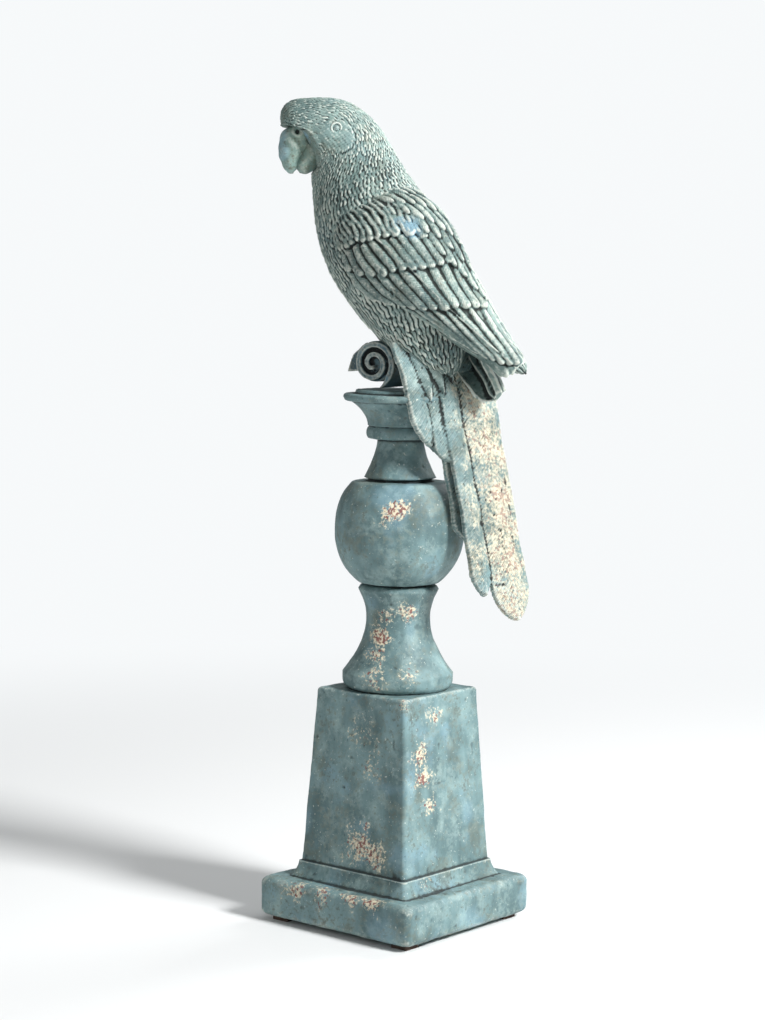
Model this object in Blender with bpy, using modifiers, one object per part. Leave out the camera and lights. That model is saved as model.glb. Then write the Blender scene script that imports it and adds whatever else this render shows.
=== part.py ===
"""A parrot figurine, cast in one piece. The bird perches on a scroll on top of a turned finial and a square plinth.
Four soft pads lie under the plinth. Metres, +Z up, origin in the middle of the plinth's underside."""

from math import cos, pi, radians, sin

import bmesh
import bpy
from mathutils import Matrix, Vector

MM = 0.001

# Pads under the plinth
PAD_SIDE = 11 * MM
PAD_THICK = 2.7 * MM
PAD_INSET = 6 * MM
PAD_GAP = 0.3 * MM

# Square plinth: a slab, a hollow flare and a tapered block
BASE_SIDE = 115 * MM
SLAB_HEIGHT = 23.2 * MM
SLAB_ROUND = 4 * MM
FLARE_FOOT_SIDE = 90 * MM
FLARE_TOP_SIDE = 82.5 * MM
FLARE_HEIGHT = 9.5 * MM
FLARE_CURVE = 1.8
BLOCK_FOOT_SIDE = 80.4 * MM
BLOCK_TOP_SIDE = 68.1 * MM
BLOCK_HEIGHT = 114.2 * MM
BLOCK_ROUND = 2.5 * MM

# Turned finial, from the block up: waist, ball, neck, bead and cap
WAIST_FOOT_RADIUS = 32.8 * MM
WAIST_FOOT_HEIGHT = 9 * MM
WAIST_RADIUS = 18.8 * MM
WAIST_TOP_RADIUS = 23.8 * MM
WAIST_HEIGHT = 60.9 * MM
WAIST_PLACE = 0.35
WAIST_CURVE = 1.9
BALL_RADIUS = 38.3 * MM
BALL_HALF_HEIGHT = 30 * MM
BALL_SQUARENESS_ABOVE = 2.5
BALL_SQUARENESS_BELOW = 2
NECK_FOOT_RADIUS = 21.4 * MM
NECK_RADIUS = 13.6 * MM
NECK_HEIGHT = 22.8 * MM
NECK_CURVE = 1.6
BEAD_RADIUS = 20.3 * MM
BEAD_HEIGHT = 7.6 * MM
CAP_FOOT_RADIUS = 19.6 * MM
CAP_RADIUS = 34.2 * MM
CAP_LIP = 4 * MM
CAP_HEIGHT = 18.8 * MM
CAP_CURVE = 2
PERCH_RADIUS = 27 * MM
PERCH_HEIGHT = 2.5 * MM
GROOVE_DEPTH = 2.5 * MM
GROOVE_HEIGHT = 2 * MM
TURNED_SIDES = 22
SINK = 3 * MM

# Scroll that the bird sits on
SCROLL_RADIUS = 15.5 * MM
SCROLL_LENGTH = 38 * MM
SCROLL_FORWARD = 9 * MM
SCROLL_BAND = 3 * MM
SCROLL_CORE_RADIUS = 3.2 * MM
SCROLL_TURNS = 2.0
SCROLL_RELIEF = 3.5 * MM
SCROLL_START = radians(-110)
SCROLL_SIDES = 20
LEAF_REACH = 5 * MM
LEAF_WIDTH = 26 * MM
# Outline of the leaf, as shares of the scroll's radius and of the leaf's reach past it, forward and up
LEAF_OUTLINE = ((0.5, 0, 0.8), (1, 0.3, 0.3), (1, 1, -0.35), (0.85, 0, -0.3), (0.75, 0, 0))

# Bird: its turn on the pedestal, and its head's turn to its left
BIRD_TURN = radians(10)
HEAD_TURN = radians(40)
BODY_POINTS = 10
BEAK_POINTS = 6
FILLING_POINTS = 5
EYE_RADIUS = 2.4 * MM
EYE_RING_RADIUS = 4 * MM
EYE_RING_WIRE = 0.9 * MM
WING_THICK = 6 * MM
FEATHER_THICK = 3.6 * MM
TAIL_THICK = 4 * MM
TAIL_TURN = radians(20)
RIGHT_WING_DROP = radians(8)
RIGHT_WING_SINK = 3

# The shapes of the bird below are in millimetres, from the middle of the cap's top
# Rings of the body from rump to neck: forward, up, heading of the spine, half depth, half width
BODY_RINGS = (
    (-31, 12, 62, 8, 12),
    (-25, 24, 60, 17, 20),
    (-18, 38, 59, 26, 26),
    (-10, 54, 57, 32, 31),
    (1, 69, 57, 35, 33.5),
    (12, 85, 58, 36.5, 34),
    (22, 101.5, 60, 35, 31.5),
    (30, 118, 62, 30.5, 27.5),
)
# Rings of the head from nape to forehead, from the head's centre. The last number is a share of the head's turn
HEAD_CENTRE = (44, 154)
HEAD_RINGS = (
    (-7, -20, 60, 27.5, 24, 0.4),
    (-1, -9, 44, 27, 22.5, 0.8),
    (7, -1, 24, 25, 21.5, 1),
    (17, 0.5, 8, 22, 20, 1),
    (26, 3.5, 0, 17.5, 16.5, 1),
    (34, 5.5, -5, 12, 12.5, 1),
)
UPPER_BEAK_RINGS = (
    (18, -1, -20, 10.5, 10, 1),
    (26.5, -3.5, -48, 12, 10, 1),
    (29, -12, -76, 8.2, 8.4, 1),
    (28.6, -18.5, -98, 5.4, 5.6, 1),
    (26, -25, -112, 2, 2.4, 1),
)
LOWER_BEAK_RINGS = (
    (8, -8, -50, 8, 10, 1),
    (14.5, -15, -45, 7.5, 9, 1),
    (20, -19, -25, 5.6, 7, 1),
    (24.5, -20.5, 0, 3, 4, 1),
)
EYE_PLACE = (4.3, 3.7, 20.4)
FACE_PATCH_PLACE = (1.3, -2.5, 15.5)
FACE_PATCH_SIZE = (9, 10.5, 6.8)

# Folded wing from shoulder to tip: forward, up, half depth, reach from the middle
WING_STATIONS = (
    (30, 107, 7, 27),
    (20, 102, 19, 32),
    (8, 97, 26, 35.5),
    (-4, 87, 30, 37.5),
    (-17, 77, 28, 37),
    (-27, 69, 22.5, 34.5),
    (-38, 57, 17, 30),
    (-50, 45, 12.5, 24),
    (-60, 35, 10, 18),
    (-68, 27.5, 8, 13),
    (-74, 22, 6, 9),
    (-79, 17.5, 4, 6),
)
WING_HEADING = Vector((-0.8, -0.6))
WING_BACK = radians(80)
WING_EDGE = radians(-35)
WING_OVERLAP = 0.08
WING_COLUMNS = 6
# Share of the wing's fixed heading against that of its own line
WING_STIFFNESS = 0.6
# The filling between the wings' tips: share of the wings' depth and reach, and its spine's heading
FILLING_DEPTH = 0.7
FILLING_REACH = 0.75
FILLING_HEADING = 217
# A feather's height over the wing at its root and at its tip, and that of its upper and lower edge
FEATHER_ROOT_LIFT = -0.8
FEATHER_TIP_LIFT = 1.8
FEATHER_UPPER_EDGE = -1
FEATHER_LOWER_EDGE = 1.3
# Its root's width as a share of its widest, where it gets there, and where its round tip starts
FEATHER_ROOT_WIDTH = 0.55
FEATHER_WIDEST = 0.4
FEATHER_ROUNDS = 0.6
LONG_FEATHER = 0.14

# Feathers of a wing: how many, first and last root, first and last tip as (along, across), half width
WING_FEATHERS = (
    ("primary", 5, (0.42, 0.90), (0.60, 0.24), (0.72, 0.96), (0.99, 0.40), 5.0),
    ("secondary", 7, (0.22, 0.92), (0.46, 0.16), (0.40, 0.97), (0.625, 0.20), 5.8),
    ("greater_covert", 8, (0.12, 0.86), (0.37, 0.20), (0.27, 0.86), (0.495, 0.12), 5.2),
    ("median_covert", 5, (0.03, 0.90), (0.24, 0.40), (0.145, 0.95), (0.325, 0.40), 4.5),
    ("scapular", 2, (0.18, 0.14), (0.32, 0.03), (0.34, 0.20), (0.54, 0.03), 6.2),
    ("mantle", 2, (0.05, 0.28), (0.15, 0.02), (0.20, 0.32), (0.34, 0.04), 6.0),
)

# Line of the tail's ridge: forward, up
TAIL_LINE = ((-24, 34), (-36, 8), (-45, -29), (-52, -60), (-58.5, -92), (-67.5, -132))
# Feathers of the tail: place to the left of the ridge, height over it, end as a share of the tail, half width
TAIL_FEATHERS = (
    ("right_centre", -12, 0, 1, 12),
    ("left_centre", 6, 0.6, 0.9, 7.5),
    ("left_second", 14, -3.6, 0.62, 8),
    ("left_outer", 21, -7.4, 0.44, 6),
    ("right_second", -19, -4.4, 0.84, 7),
    ("under", 0, -7, 0.74, 13),
)
# A tail feather's ridge over its edges, and the share of its length where its round tip starts
TAIL_RIDGE = 0.5
TAIL_EDGE = -0.8
TAIL_ROUNDS = 0.8
TAIL_TIP = 0.21

BLOCK_TOP = SLAB_HEIGHT + BLOCK_HEIGHT
WAIST_TOP = BLOCK_TOP + WAIST_HEIGHT
BALL_CENTRE = WAIST_TOP + GROOVE_HEIGHT + BALL_HALF_HEIGHT
NECK_FOOT = BALL_CENTRE + BALL_HALF_HEIGHT + GROOVE_HEIGHT
BEAD_FOOT = NECK_FOOT + NECK_HEIGHT
CAP_FOOT = BEAD_FOOT + BEAD_HEIGHT
CAP_TOP = CAP_FOOT + CAP_HEIGHT


def clear_scene():
    for old in list(bpy.data.objects):
        bpy.data.objects.remove(old)


def new_collection(name):
    made = bpy.data.collections.new(name)
    bpy.context.scene.collection.children.link(made)
    return made


def new_material(name, colour, roughness, metallic=0.0):
    made = bpy.data.materials.new(name)
    made.use_nodes = True
    shader = made.node_tree.nodes["Principled BSDF"]
    shader.inputs["Base Color"].default_value = (*colour, 1)
    shader.inputs["Roughness"].default_value = roughness
    shader.inputs["Metallic"].default_value = metallic
    return made


def move_to(group, thing):
    """Put an object in one collection only."""
    for old in list(thing.users_collection):
        old.objects.unlink(thing)
    group.objects.link(thing)
    return thing


def form(name, vertices, faces, group, closed=True):
    """An object from points and faces. A closed form's faces are turned outwards."""
    mesh = bpy.data.meshes.new(name)
    mesh.from_pydata([tuple(point) for point in vertices], [], faces)
    if closed:
        body = bmesh.new()
        body.from_mesh(mesh)
        bmesh.ops.recalc_face_normals(body, faces=body.faces)
        body.to_mesh(mesh)
        body.free()
    mesh.shade_smooth()
    made = bpy.data.objects.new(name, mesh)
    group.objects.link(made)
    return made


def bird_point(forward, left, up):
    """A point of the bird in world coordinates, from millimetres off the middle of the cap's top."""
    turned = Matrix.Rotation(BIRD_TURN, 3, "Z") @ Vector((left, -forward, up))
    return turned * MM + Vector((0, 0, CAP_TOP))


def head_point(ahead, up, side, share=1.0):
    """A point of the head: ahead is the way that the head looks, after a share of its turn to the left."""
    turn = HEAD_TURN * share
    forward = HEAD_CENTRE[0] + ahead * cos(turn) - side * sin(turn)
    return bird_point(forward, ahead * sin(turn) + side * cos(turn), HEAD_CENTRE[1] + up)


def body_point(ahead, up, side, share=0.0):
    return bird_point(ahead, side, up)


def oval(place, ring, points):
    """The cage points of one oval ring, which subdivision pulls in to the ring's half depth and half width."""
    ahead, up, heading, depth, width, share = ring
    swell = 3 / (2 + cos(2 * pi / points))
    tilt = radians(heading)
    found = []
    for k in range(points):
        angle = 2 * pi * k / points
        rise, out = depth * swell * cos(angle), width * swell * sin(angle)
        found.append(place(ahead - rise * sin(tilt), up + rise * cos(tilt), out, share))
    return found


def loft(name, rings, points, group):
    """A closed soft form through rings of points."""
    vertices = [point for ring in rings for point in ring]
    faces = []
    for first in range(0, len(vertices) - points, points):
        for k in range(points):
            a, b = first + k, first + (k + 1) % points
            faces.append((a, b, b + points, a + points))
    faces.append(tuple(range(points)))
    faces.append(tuple(range(len(vertices) - points, len(vertices))))
    made = form(name, vertices, faces, group)
    soft = made.modifiers.new("soft form", "SUBSURF")
    soft.levels = soft.render_levels = 1
    return made


def turned(name, profile, sides, group):
    """A turned form: its profile runs from the top centre down the outer side to the bottom centre."""
    edges = [(i, i + 1) for i in range(len(profile) - 1)]
    mesh = bpy.data.meshes.new(name)
    mesh.from_pydata([(radius, 0, height) for radius, height in profile], edges, [])
    made = bpy.data.objects.new(name, mesh)
    group.objects.link(made)
    turn = made.modifiers.new("turned", "SCREW")
    turn.steps = turn.render_steps = sides
    turn.use_merge_vertices = True
    turn.merge_threshold = 0.01 * MM
    turn.use_normal_calculate = True
    turn.use_smooth_shade = sides > 4
    return made


def square_turned(name, profile, group):
    """A square form with rounded corners: a profile of half sides, turned in four steps."""
    made = turned(name, [(half * 2**0.5, height) for half, height in profile], 4, group)
    made.rotation_euler.z = pi / 4
    rounded = made.modifiers.new("rounded corners", "BEVEL")
    rounded.width, rounded.segments = BLOCK_ROUND, 2
    rounded.angle_limit = radians(60)
    return made


def make_slab(group):
    """The plinth's slab, which all the rest of the casting joins."""
    bpy.ops.mesh.primitive_cube_add(size=1, location=(0, 0, SLAB_HEIGHT / 2))
    slab = move_to(group, bpy.context.object)
    slab.name = slab.data.name = "figurine_casting"
    slab.data.transform(Matrix.Diagonal((BASE_SIDE, BASE_SIDE, SLAB_HEIGHT, 1)))
    rounded = slab.modifiers.new("rounded edges", "BEVEL")
    rounded.width, rounded.segments = SLAB_ROUND, 3
    return slab


def make_plinth(group):
    flare_top = SLAB_HEIGHT + FLARE_HEIGHT
    hollow = [(0, flare_top)]
    for share in (1, 0.6, 0.3, 0.1, 0):
        spread = (FLARE_FOOT_SIDE - FLARE_TOP_SIDE) / 2 * (1 - share) ** FLARE_CURVE
        hollow.append((FLARE_TOP_SIDE / 2 + spread, SLAB_HEIGHT + FLARE_HEIGHT * share))
    hollow += [(FLARE_FOOT_SIDE / 2, SLAB_HEIGHT - SINK), (0, SLAB_HEIGHT - SINK)]
    square_turned("flare", hollow, group)
    block = [(0, BLOCK_TOP), (BLOCK_TOP_SIDE / 2, BLOCK_TOP)]
    block += [(BLOCK_FOOT_SIDE / 2, flare_top - SINK), (0, flare_top - SINK)]
    square_turned("block", block, group)


def cap_profile():
    """Cap, with a low disc for the perch, a thin lip and a hollow underside."""
    points = [(0, CAP_TOP + PERCH_HEIGHT), (PERCH_RADIUS - PERCH_HEIGHT / 2, CAP_TOP + PERCH_HEIGHT)]
    points += [(PERCH_RADIUS, CAP_TOP), (CAP_RADIUS - CAP_LIP / 3, CAP_TOP)]
    points += [(CAP_RADIUS, CAP_TOP - CAP_LIP / 3), (CAP_RADIUS - CAP_LIP / 5, CAP_TOP - CAP_LIP)]
    hollow_top = CAP_TOP - CAP_LIP
    for share in (0.1, 0.35, 0.65, 1):
        reach = (CAP_RADIUS - CAP_LIP - CAP_FOOT_RADIUS) * (1 - share) ** CAP_CURVE
        points.append((CAP_FOOT_RADIUS + reach, hollow_top + (CAP_FOOT - hollow_top) * share))
    return points


def bead_and_neck_profile():
    points = []
    for step in range(4):
        angle = pi / 2 - pi * step / 3
        bulge = BEAD_RADIUS - BEAD_HEIGHT / 4 * (1 - cos(angle))
        points.append((bulge, BEAD_FOOT + BEAD_HEIGHT / 2 * (1 + 0.92 * sin(angle))))
    for share in (0, 0.3, 0.6, 0.85, 1):
        spread = (NECK_FOOT_RADIUS - NECK_RADIUS) * share**NECK_CURVE
        points.append((NECK_RADIUS + spread, BEAD_FOOT - NECK_HEIGHT * share))
    return points


def ball_profile():
    """Ball with slightly square shoulders, in its two grooves."""
    points = [(NECK_FOOT_RADIUS - GROOVE_DEPTH, NECK_FOOT - GROOVE_HEIGHT / 4)]
    points.append((NECK_FOOT_RADIUS - GROOVE_DEPTH, NECK_FOOT - GROOVE_HEIGHT))
    for step in range(9):
        height = BALL_HALF_HEIGHT * cos(pi * step / 8)
        squareness = BALL_SQUARENESS_ABOVE if height > 0 else BALL_SQUARENESS_BELOW
        radius = (BALL_RADIUS**squareness - abs(height) ** squareness) ** (1 / squareness)
        points.append((radius, BALL_CENTRE + height))
    points.append((WAIST_TOP_RADIUS - 2 * GROOVE_DEPTH, WAIST_TOP + GROOVE_HEIGHT / 2))
    return points


def waist_profile():
    """Waisted foot: it narrows from its top edge, then spreads to a rounded foot on the block."""
    points = [(WAIST_TOP_RADIUS - GROOVE_DEPTH / 2, WAIST_TOP), (WAIST_TOP_RADIUS, WAIST_TOP - GROOVE_HEIGHT)]
    length = WAIST_HEIGHT - GROOVE_HEIGHT - WAIST_FOOT_HEIGHT
    for share in (0.15, 0.4, 0.6, 0.8, 1):
        above = share < WAIST_PLACE
        wide = WAIST_TOP_RADIUS if above else WAIST_FOOT_RADIUS
        bend = abs(share - WAIST_PLACE) / (WAIST_PLACE if above else 1 - WAIST_PLACE)
        radius = WAIST_RADIUS + (wide - WAIST_RADIUS) * bend**WAIST_CURVE
        points.append((radius, WAIST_TOP - GROOVE_HEIGHT - length * share))
    points.append((WAIST_FOOT_RADIUS, BLOCK_TOP + WAIST_FOOT_HEIGHT / 2))
    points.append((WAIST_FOOT_RADIUS - WAIST_FOOT_HEIGHT / 3, BLOCK_TOP))
    return points


def make_finial(group):
    foot = [(WAIST_FOOT_RADIUS - WAIST_FOOT_HEIGHT / 3, BLOCK_TOP - SINK), (0, BLOCK_TOP - SINK)]
    profile = cap_profile() + bead_and_neck_profile() + ball_profile() + waist_profile() + foot
    turned("turned_finial", profile, TURNED_SIDES, group)


def scroll_point(forward, side, up):
    """A point of the scroll, from the middle of its roll."""
    return bird_point(
        (SCROLL_FORWARD + forward) / MM,
        side / MM,
        (PERCH_HEIGHT + SCROLL_RADIUS + up) / MM,
    )


def prism(name, outline, half_length, group):
    """A closed form along the scroll's length, from the outline of its end."""
    count = len(outline)
    vertices = [scroll_point(x, side, z) for side in (-half_length, half_length) for x, z in outline]
    faces = [(k, (k + 1) % count, (k + 1) % count + count, k + count) for k in range(count)]
    faces += [tuple(range(count)), tuple(range(count, 2 * count))]
    return form(name, vertices, faces, group)


def make_scroll(group):
    """A rolled band round a drum: the spiral stands proud of both ends, with a leaf at the front."""
    outside, inside = [], []
    steps = round(SCROLL_SIDES * SCROLL_TURNS)
    for step in range(steps + 1):
        share = step / steps
        angle = SCROLL_START - 2 * pi * SCROLL_TURNS * share
        reach = SCROLL_RADIUS + (SCROLL_CORE_RADIUS - SCROLL_RADIUS) * share
        wall = SCROLL_BAND * (1 - 0.3 * share)
        outside.append((reach * cos(angle), reach * sin(angle)))
        inside.append(((reach - wall) * cos(angle), (reach - wall) * sin(angle)))
    prism("scroll_band", outside + inside[::-1], SCROLL_LENGTH / 2, group)

    radius = SCROLL_RADIUS - SCROLL_BAND
    angles = [2 * pi * k / SCROLL_SIDES for k in range(SCROLL_SIDES)]
    drum = [(radius * cos(angle), radius * sin(angle) + SCROLL_BAND / 3) for angle in angles]
    prism("scroll_drum", drum, SCROLL_LENGTH / 2 - SCROLL_RELIEF, group)

    leaf = [(SCROLL_RADIUS * roll + LEAF_REACH * past, SCROLL_RADIUS * up) for roll, past, up in LEAF_OUTLINE]
    prism("scroll_leaf", leaf, LEAF_WIDTH / 2, group)


def blend(points, share):
    """A point on a smooth curve through points of two or more numbers, at a share of its spans."""
    place = min(max(share, 0), 1) * (len(points) - 1)
    span = min(int(place), len(points) - 2)
    t = place - span
    before, start = points[max(span - 1, 0)], points[span]
    end, after = points[span + 1], points[min(span + 2, len(points) - 1)]
    found = []
    for a, b, c, d in zip(before, start, end, after):
        slope, bend, twist = c - a, 2 * a - 5 * b + 4 * c - d, 3 * b - a - 3 * c + d
        found.append(b + (slope * t + bend * t**2 + twist * t**3) / 2)
    return found


def wing_surface(along, across):
    """A point of the folded wing's outer surface as (forward, left, up), for the left wing."""
    forward, up, depth, reach = blend(WING_STATIONS, along)
    ahead, behind = blend(WING_STATIONS, along + 0.01), blend(WING_STATIONS, along - 0.01)
    line = Vector((ahead[0] - behind[0], ahead[1] - behind[1])).normalized()
    heading = (WING_HEADING * WING_STIFFNESS + line * (1 - WING_STIFFNESS)).normalized()
    angle = WING_BACK + (WING_EDGE - WING_BACK) * across
    low, high = sin(WING_EDGE), sin(WING_BACK)
    rise = depth * (2 * (sin(angle) - low) / (high - low) - 1)
    return Vector((forward + rise * heading.y, reach * cos(angle), up - rise * heading.x))


def wing_frame(along, across):
    """A point of the wing, the way towards its tip and the way out of its surface."""
    point = wing_surface(along, across)
    step = 0.02
    tipward = wing_surface(along + step, across) - wing_surface(along - step, across)
    edgeward = wing_surface(along, across + step) - wing_surface(along, across - step)
    return point, tipward.normalized(), edgeward.cross(tipward).normalized()


def wing_point(place, left_wing):
    """A wing's point in world coordinates. The right wing is a mirror image that hangs a little lower."""
    if left_wing:
        return bird_point(*place)
    shoulder = Vector((WING_STATIONS[0][0], 0, WING_STATIONS[0][1]))
    hung = Matrix.Rotation(-RIGHT_WING_DROP, 3, "Y") @ (place - shoulder) + shoulder
    hung -= Vector((WING_HEADING.y, 0, -WING_HEADING.x)) * RIGHT_WING_SINK
    return bird_point(hung.x, -hung.y, hung.z)


def sheet(name, rows, thickness, group):
    """A form of even thickness under a sheet of points, in rows of equal length."""
    across = len(rows[0])
    faces = []
    for row in range(len(rows) - 1):
        for k in range(across - 1):
            a = row * across + k
            faces.append((a, a + 1, a + across + 1, a + across))
    made = form(name, [point for row in rows for point in row], faces, group, closed=False)
    wall = made.modifiers.new("wall", "SOLIDIFY")
    wall.thickness, wall.offset = thickness, -1
    return made


def round_tip(share, start, end):
    """Half width at a share of the length, where a half oval closes the tip from start to end."""
    return max(1 - (max(share - start, 0) / (end - start)) ** 2, 0) ** 0.5


def feather_width(share):
    """Half width of a feather along its length, as a share of its widest: a narrow root and a round tip."""
    spread = FEATHER_ROOT_WIDTH + (1 - FEATHER_ROOT_WIDTH) * min(share / FEATHER_WIDEST, 1)
    return spread * round_tip(share, FEATHER_ROUNDS, 1)


def wing_feather(name, root, tip, width, left_wing, group):
    """One feather on the wing: it rises from under the row before it, and its lower edge stands proud."""
    rows = []
    shares = (0, 0.4, 0.8, 0.97) if tip[0] - root[0] > LONG_FEATHER else (0, 0.7, 0.97)
    for share in shares:
        along = root[0] + (tip[0] - root[0]) * share
        across = root[1] + (tip[1] - root[1]) * share
        point, tipward, outward = wing_frame(along, across)
        side = tipward.cross(outward)
        half = width * feather_width(share)
        lift = FEATHER_ROOT_LIFT + (FEATHER_TIP_LIFT - FEATHER_ROOT_LIFT) * share
        edges = ((-1, FEATHER_UPPER_EDGE), (1, FEATHER_LOWER_EDGE))
        row = [point + side * half * across_share + outward * (lift + rise) for across_share, rise in edges]
        rows.append([wing_point(place, left_wing) for place in row])
    if left_wing:
        rows = [row[::-1] for row in rows]
    return sheet(name, rows, FEATHER_THICK, group)


def make_wing(left_wing, group):
    side = "left" if left_wing else "right"
    stations = len(WING_STATIONS)
    rows = []
    for station in range(stations):
        row = []
        for k in range(WING_COLUMNS + 1):
            across = -WING_OVERLAP + (1 + WING_OVERLAP) * k / WING_COLUMNS
            row.append(wing_point(wing_surface(station / (stations - 1), across), left_wing))
        rows.append(row if left_wing else row[::-1])
    sheet(f"{side}_wing", rows, WING_THICK, group)
    for kind, count, first_root, last_root, first_tip, last_tip, width in WING_FEATHERS:
        for k in range(count):
            share = k / (count - 1)
            root = [a + (b - a) * share for a, b in zip(first_root, last_root)]
            tip = [a + (b - a) * share for a, b in zip(first_tip, last_tip)]
            wing_feather(f"{side}_{kind}_{k + 1}", root, tip, width, left_wing, group)


def make_wing_filling(group):
    """The wings' tips are solid between them."""
    rings = []
    for forward, up, depth, reach in WING_STATIONS[4::2]:
        ring = (forward, up, FILLING_HEADING, depth * FILLING_DEPTH, reach * FILLING_REACH, 0)
        rings.append(oval(body_point, ring, FILLING_POINTS))
    loft("wing_filling", rings, FILLING_POINTS, group)


def tail_point(share, left, height):
    forward, up = blend(TAIL_LINE, share)
    ahead, behind = blend(TAIL_LINE, share + 0.02), blend(TAIL_LINE, share - 0.02)
    line = Vector((ahead[0] - behind[0], 0, ahead[1] - behind[1])).normalized()
    leftward = Vector((sin(TAIL_TURN), cos(TAIL_TURN), 0))
    outward = line.cross(leftward).normalized()
    if outward.x > 0:
        outward = -outward
    place = Vector((forward, 0, up)) + leftward * left + outward * height
    return bird_point(*place)


def make_tail(group):
    for name, left, height, end, width in TAIL_FEATHERS:
        rows = []
        for share in (0, 0.3, 0.6, 0.84, 0.97):
            half = width * min(1, 0.75 + share) * round_tip(share, TAIL_ROUNDS, TAIL_ROUNDS + TAIL_TIP)
            edges = ((-1, TAIL_EDGE), (0, TAIL_RIDGE), (1, TAIL_EDGE))
            rows.append([tail_point(share * end, left - half * k, height + rise) for k, rise in edges])
        sheet(f"tail_{name}", rows, TAIL_THICK, group)


def make_eye(left_eye, group):
    """An eye bead in its ring, on a patch of bare skin."""
    ahead, up, out = EYE_PLACE
    side = out if left_eye else -out
    name = "left" if left_eye else "right"
    outward = head_point(0, 0, side) - head_point(0, 0, 0)
    turn = outward.to_track_quat("Z", "Y").to_euler()
    centre = head_point(ahead, up, side)
    bpy.ops.mesh.primitive_uv_sphere_add(
        segments=10, ring_count=5, radius=EYE_RADIUS, location=centre, rotation=turn
    )
    bead = move_to(group, bpy.context.object)
    bead.name = bead.data.name = f"{name}_eye"
    bpy.ops.mesh.primitive_torus_add(
        major_segments=10,
        minor_segments=4,
        major_radius=EYE_RING_RADIUS,
        minor_radius=EYE_RING_WIRE,
        location=centre,
        rotation=turn,
    )
    ring = move_to(group, bpy.context.object)
    ring.name = ring.data.name = f"{name}_eye_ring"

    ahead, up, out = FACE_PATCH_PLACE
    bpy.ops.mesh.primitive_uv_sphere_add(segments=10, ring_count=5, radius=1)
    patch = move_to(group, bpy.context.object)
    patch.name = patch.data.name = f"{name}_face_patch"
    long, high, thick = (size * MM for size in FACE_PATCH_SIZE)
    patch.scale = (long, thick, high)
    patch.rotation_euler.z = BIRD_TURN + HEAD_TURN - pi / 2
    patch.location = head_point(ahead, up, out if left_eye else -out)


def make_bird(group):
    rings = [oval(body_point, (*ring, 0), BODY_POINTS) for ring in BODY_RINGS]
    rings += [oval(head_point, ring, BODY_POINTS) for ring in HEAD_RINGS]
    loft("body_and_head", rings, BODY_POINTS, group)
    loft("upper_beak", [oval(head_point, ring, BEAK_POINTS) for ring in UPPER_BEAK_RINGS], BEAK_POINTS, group)
    loft("lower_beak", [oval(head_point, ring, BEAK_POINTS) for ring in LOWER_BEAK_RINGS], BEAK_POINTS, group)
    for left in (True, False):
        make_eye(left, group)
        make_wing(left, group)
    make_wing_filling(group)
    make_tail(group)


def make_pads(group, finish):
    """Four thin square pads, one near each corner of the slab."""
    reach = BASE_SIDE / 2 - PAD_INSET - PAD_SIDE / 2
    for name, x, y in (("front", 1, 1), ("left", 1, -1), ("right", -1, 1), ("back", -1, -1)):
        place = (x * reach, y * reach, -PAD_GAP - PAD_THICK / 2)
        bpy.ops.mesh.primitive_cube_add(size=1, location=place)
        pad = move_to(group, bpy.context.object)
        pad.name = pad.data.name = f"foot_pad_{name}"
        pad.data.transform(Matrix.Diagonal((PAD_SIDE, PAD_SIDE, PAD_THICK, 1)))
        pad.data.materials.append(finish)


def main():
    clear_scene()
    parts = new_collection("parrot_figurine")
    joined = new_collection("forms_joined_into_the_casting")
    paint = new_material("weathered_teal_paint", (0.09, 0.19, 0.20), 0.7)
    rubber = new_material("brown_pad", (0.06, 0.04, 0.03), 0.9)

    casting = make_slab(parts)
    casting.data.materials.append(paint)
    make_plinth(joined)
    make_finial(joined)
    make_scroll(joined)
    make_bird(joined)
    for piece in joined.objects:
        piece.hide_render = True
        piece.display_type = "WIRE"
        piece.data.materials.append(paint)
        piece.modifiers.new("flat faces", "TRIANGULATE")
    union = casting.modifiers.new("joined forms", "BOOLEAN")
    union.operation = "UNION"
    union.operand_type = "COLLECTION"
    union.collection = joined
    union.solver = "EXACT"
    make_pads(parts, rubber)


main()
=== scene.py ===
import math

import bpy
import numpy as np
from mathutils import Matrix, Vector
from mathutils.bvhtree import BVHTree


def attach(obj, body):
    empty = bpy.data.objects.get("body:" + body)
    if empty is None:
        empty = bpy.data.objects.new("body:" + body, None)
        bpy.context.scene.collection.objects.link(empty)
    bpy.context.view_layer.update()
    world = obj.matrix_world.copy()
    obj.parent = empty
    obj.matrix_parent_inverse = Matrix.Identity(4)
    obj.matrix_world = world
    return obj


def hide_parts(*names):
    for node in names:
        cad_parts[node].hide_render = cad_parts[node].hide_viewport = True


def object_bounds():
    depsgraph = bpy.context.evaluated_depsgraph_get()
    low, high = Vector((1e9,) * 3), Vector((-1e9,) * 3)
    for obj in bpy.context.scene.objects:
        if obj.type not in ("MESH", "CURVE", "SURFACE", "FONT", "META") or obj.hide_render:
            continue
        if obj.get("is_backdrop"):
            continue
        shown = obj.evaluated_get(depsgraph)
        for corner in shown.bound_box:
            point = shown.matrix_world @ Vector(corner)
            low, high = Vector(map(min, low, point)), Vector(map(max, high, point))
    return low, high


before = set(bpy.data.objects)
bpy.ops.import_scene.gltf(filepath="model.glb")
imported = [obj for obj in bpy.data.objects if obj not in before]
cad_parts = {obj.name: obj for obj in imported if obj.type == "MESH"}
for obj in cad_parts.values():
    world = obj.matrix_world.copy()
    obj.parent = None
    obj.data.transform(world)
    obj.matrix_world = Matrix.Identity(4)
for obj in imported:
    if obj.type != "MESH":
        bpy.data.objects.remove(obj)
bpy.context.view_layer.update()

# The view: a long lens at the height of the bird's breast, nearly 1.5 m away, that looks at the corner of the
# plinth from the bird's left. It looks a little down, and stands a hair off level.
MM = 0.001
LENS, SENSOR_WIDTH = 85.05, 36
VIEW_AZIMUTH = math.radians(129.558)
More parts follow.
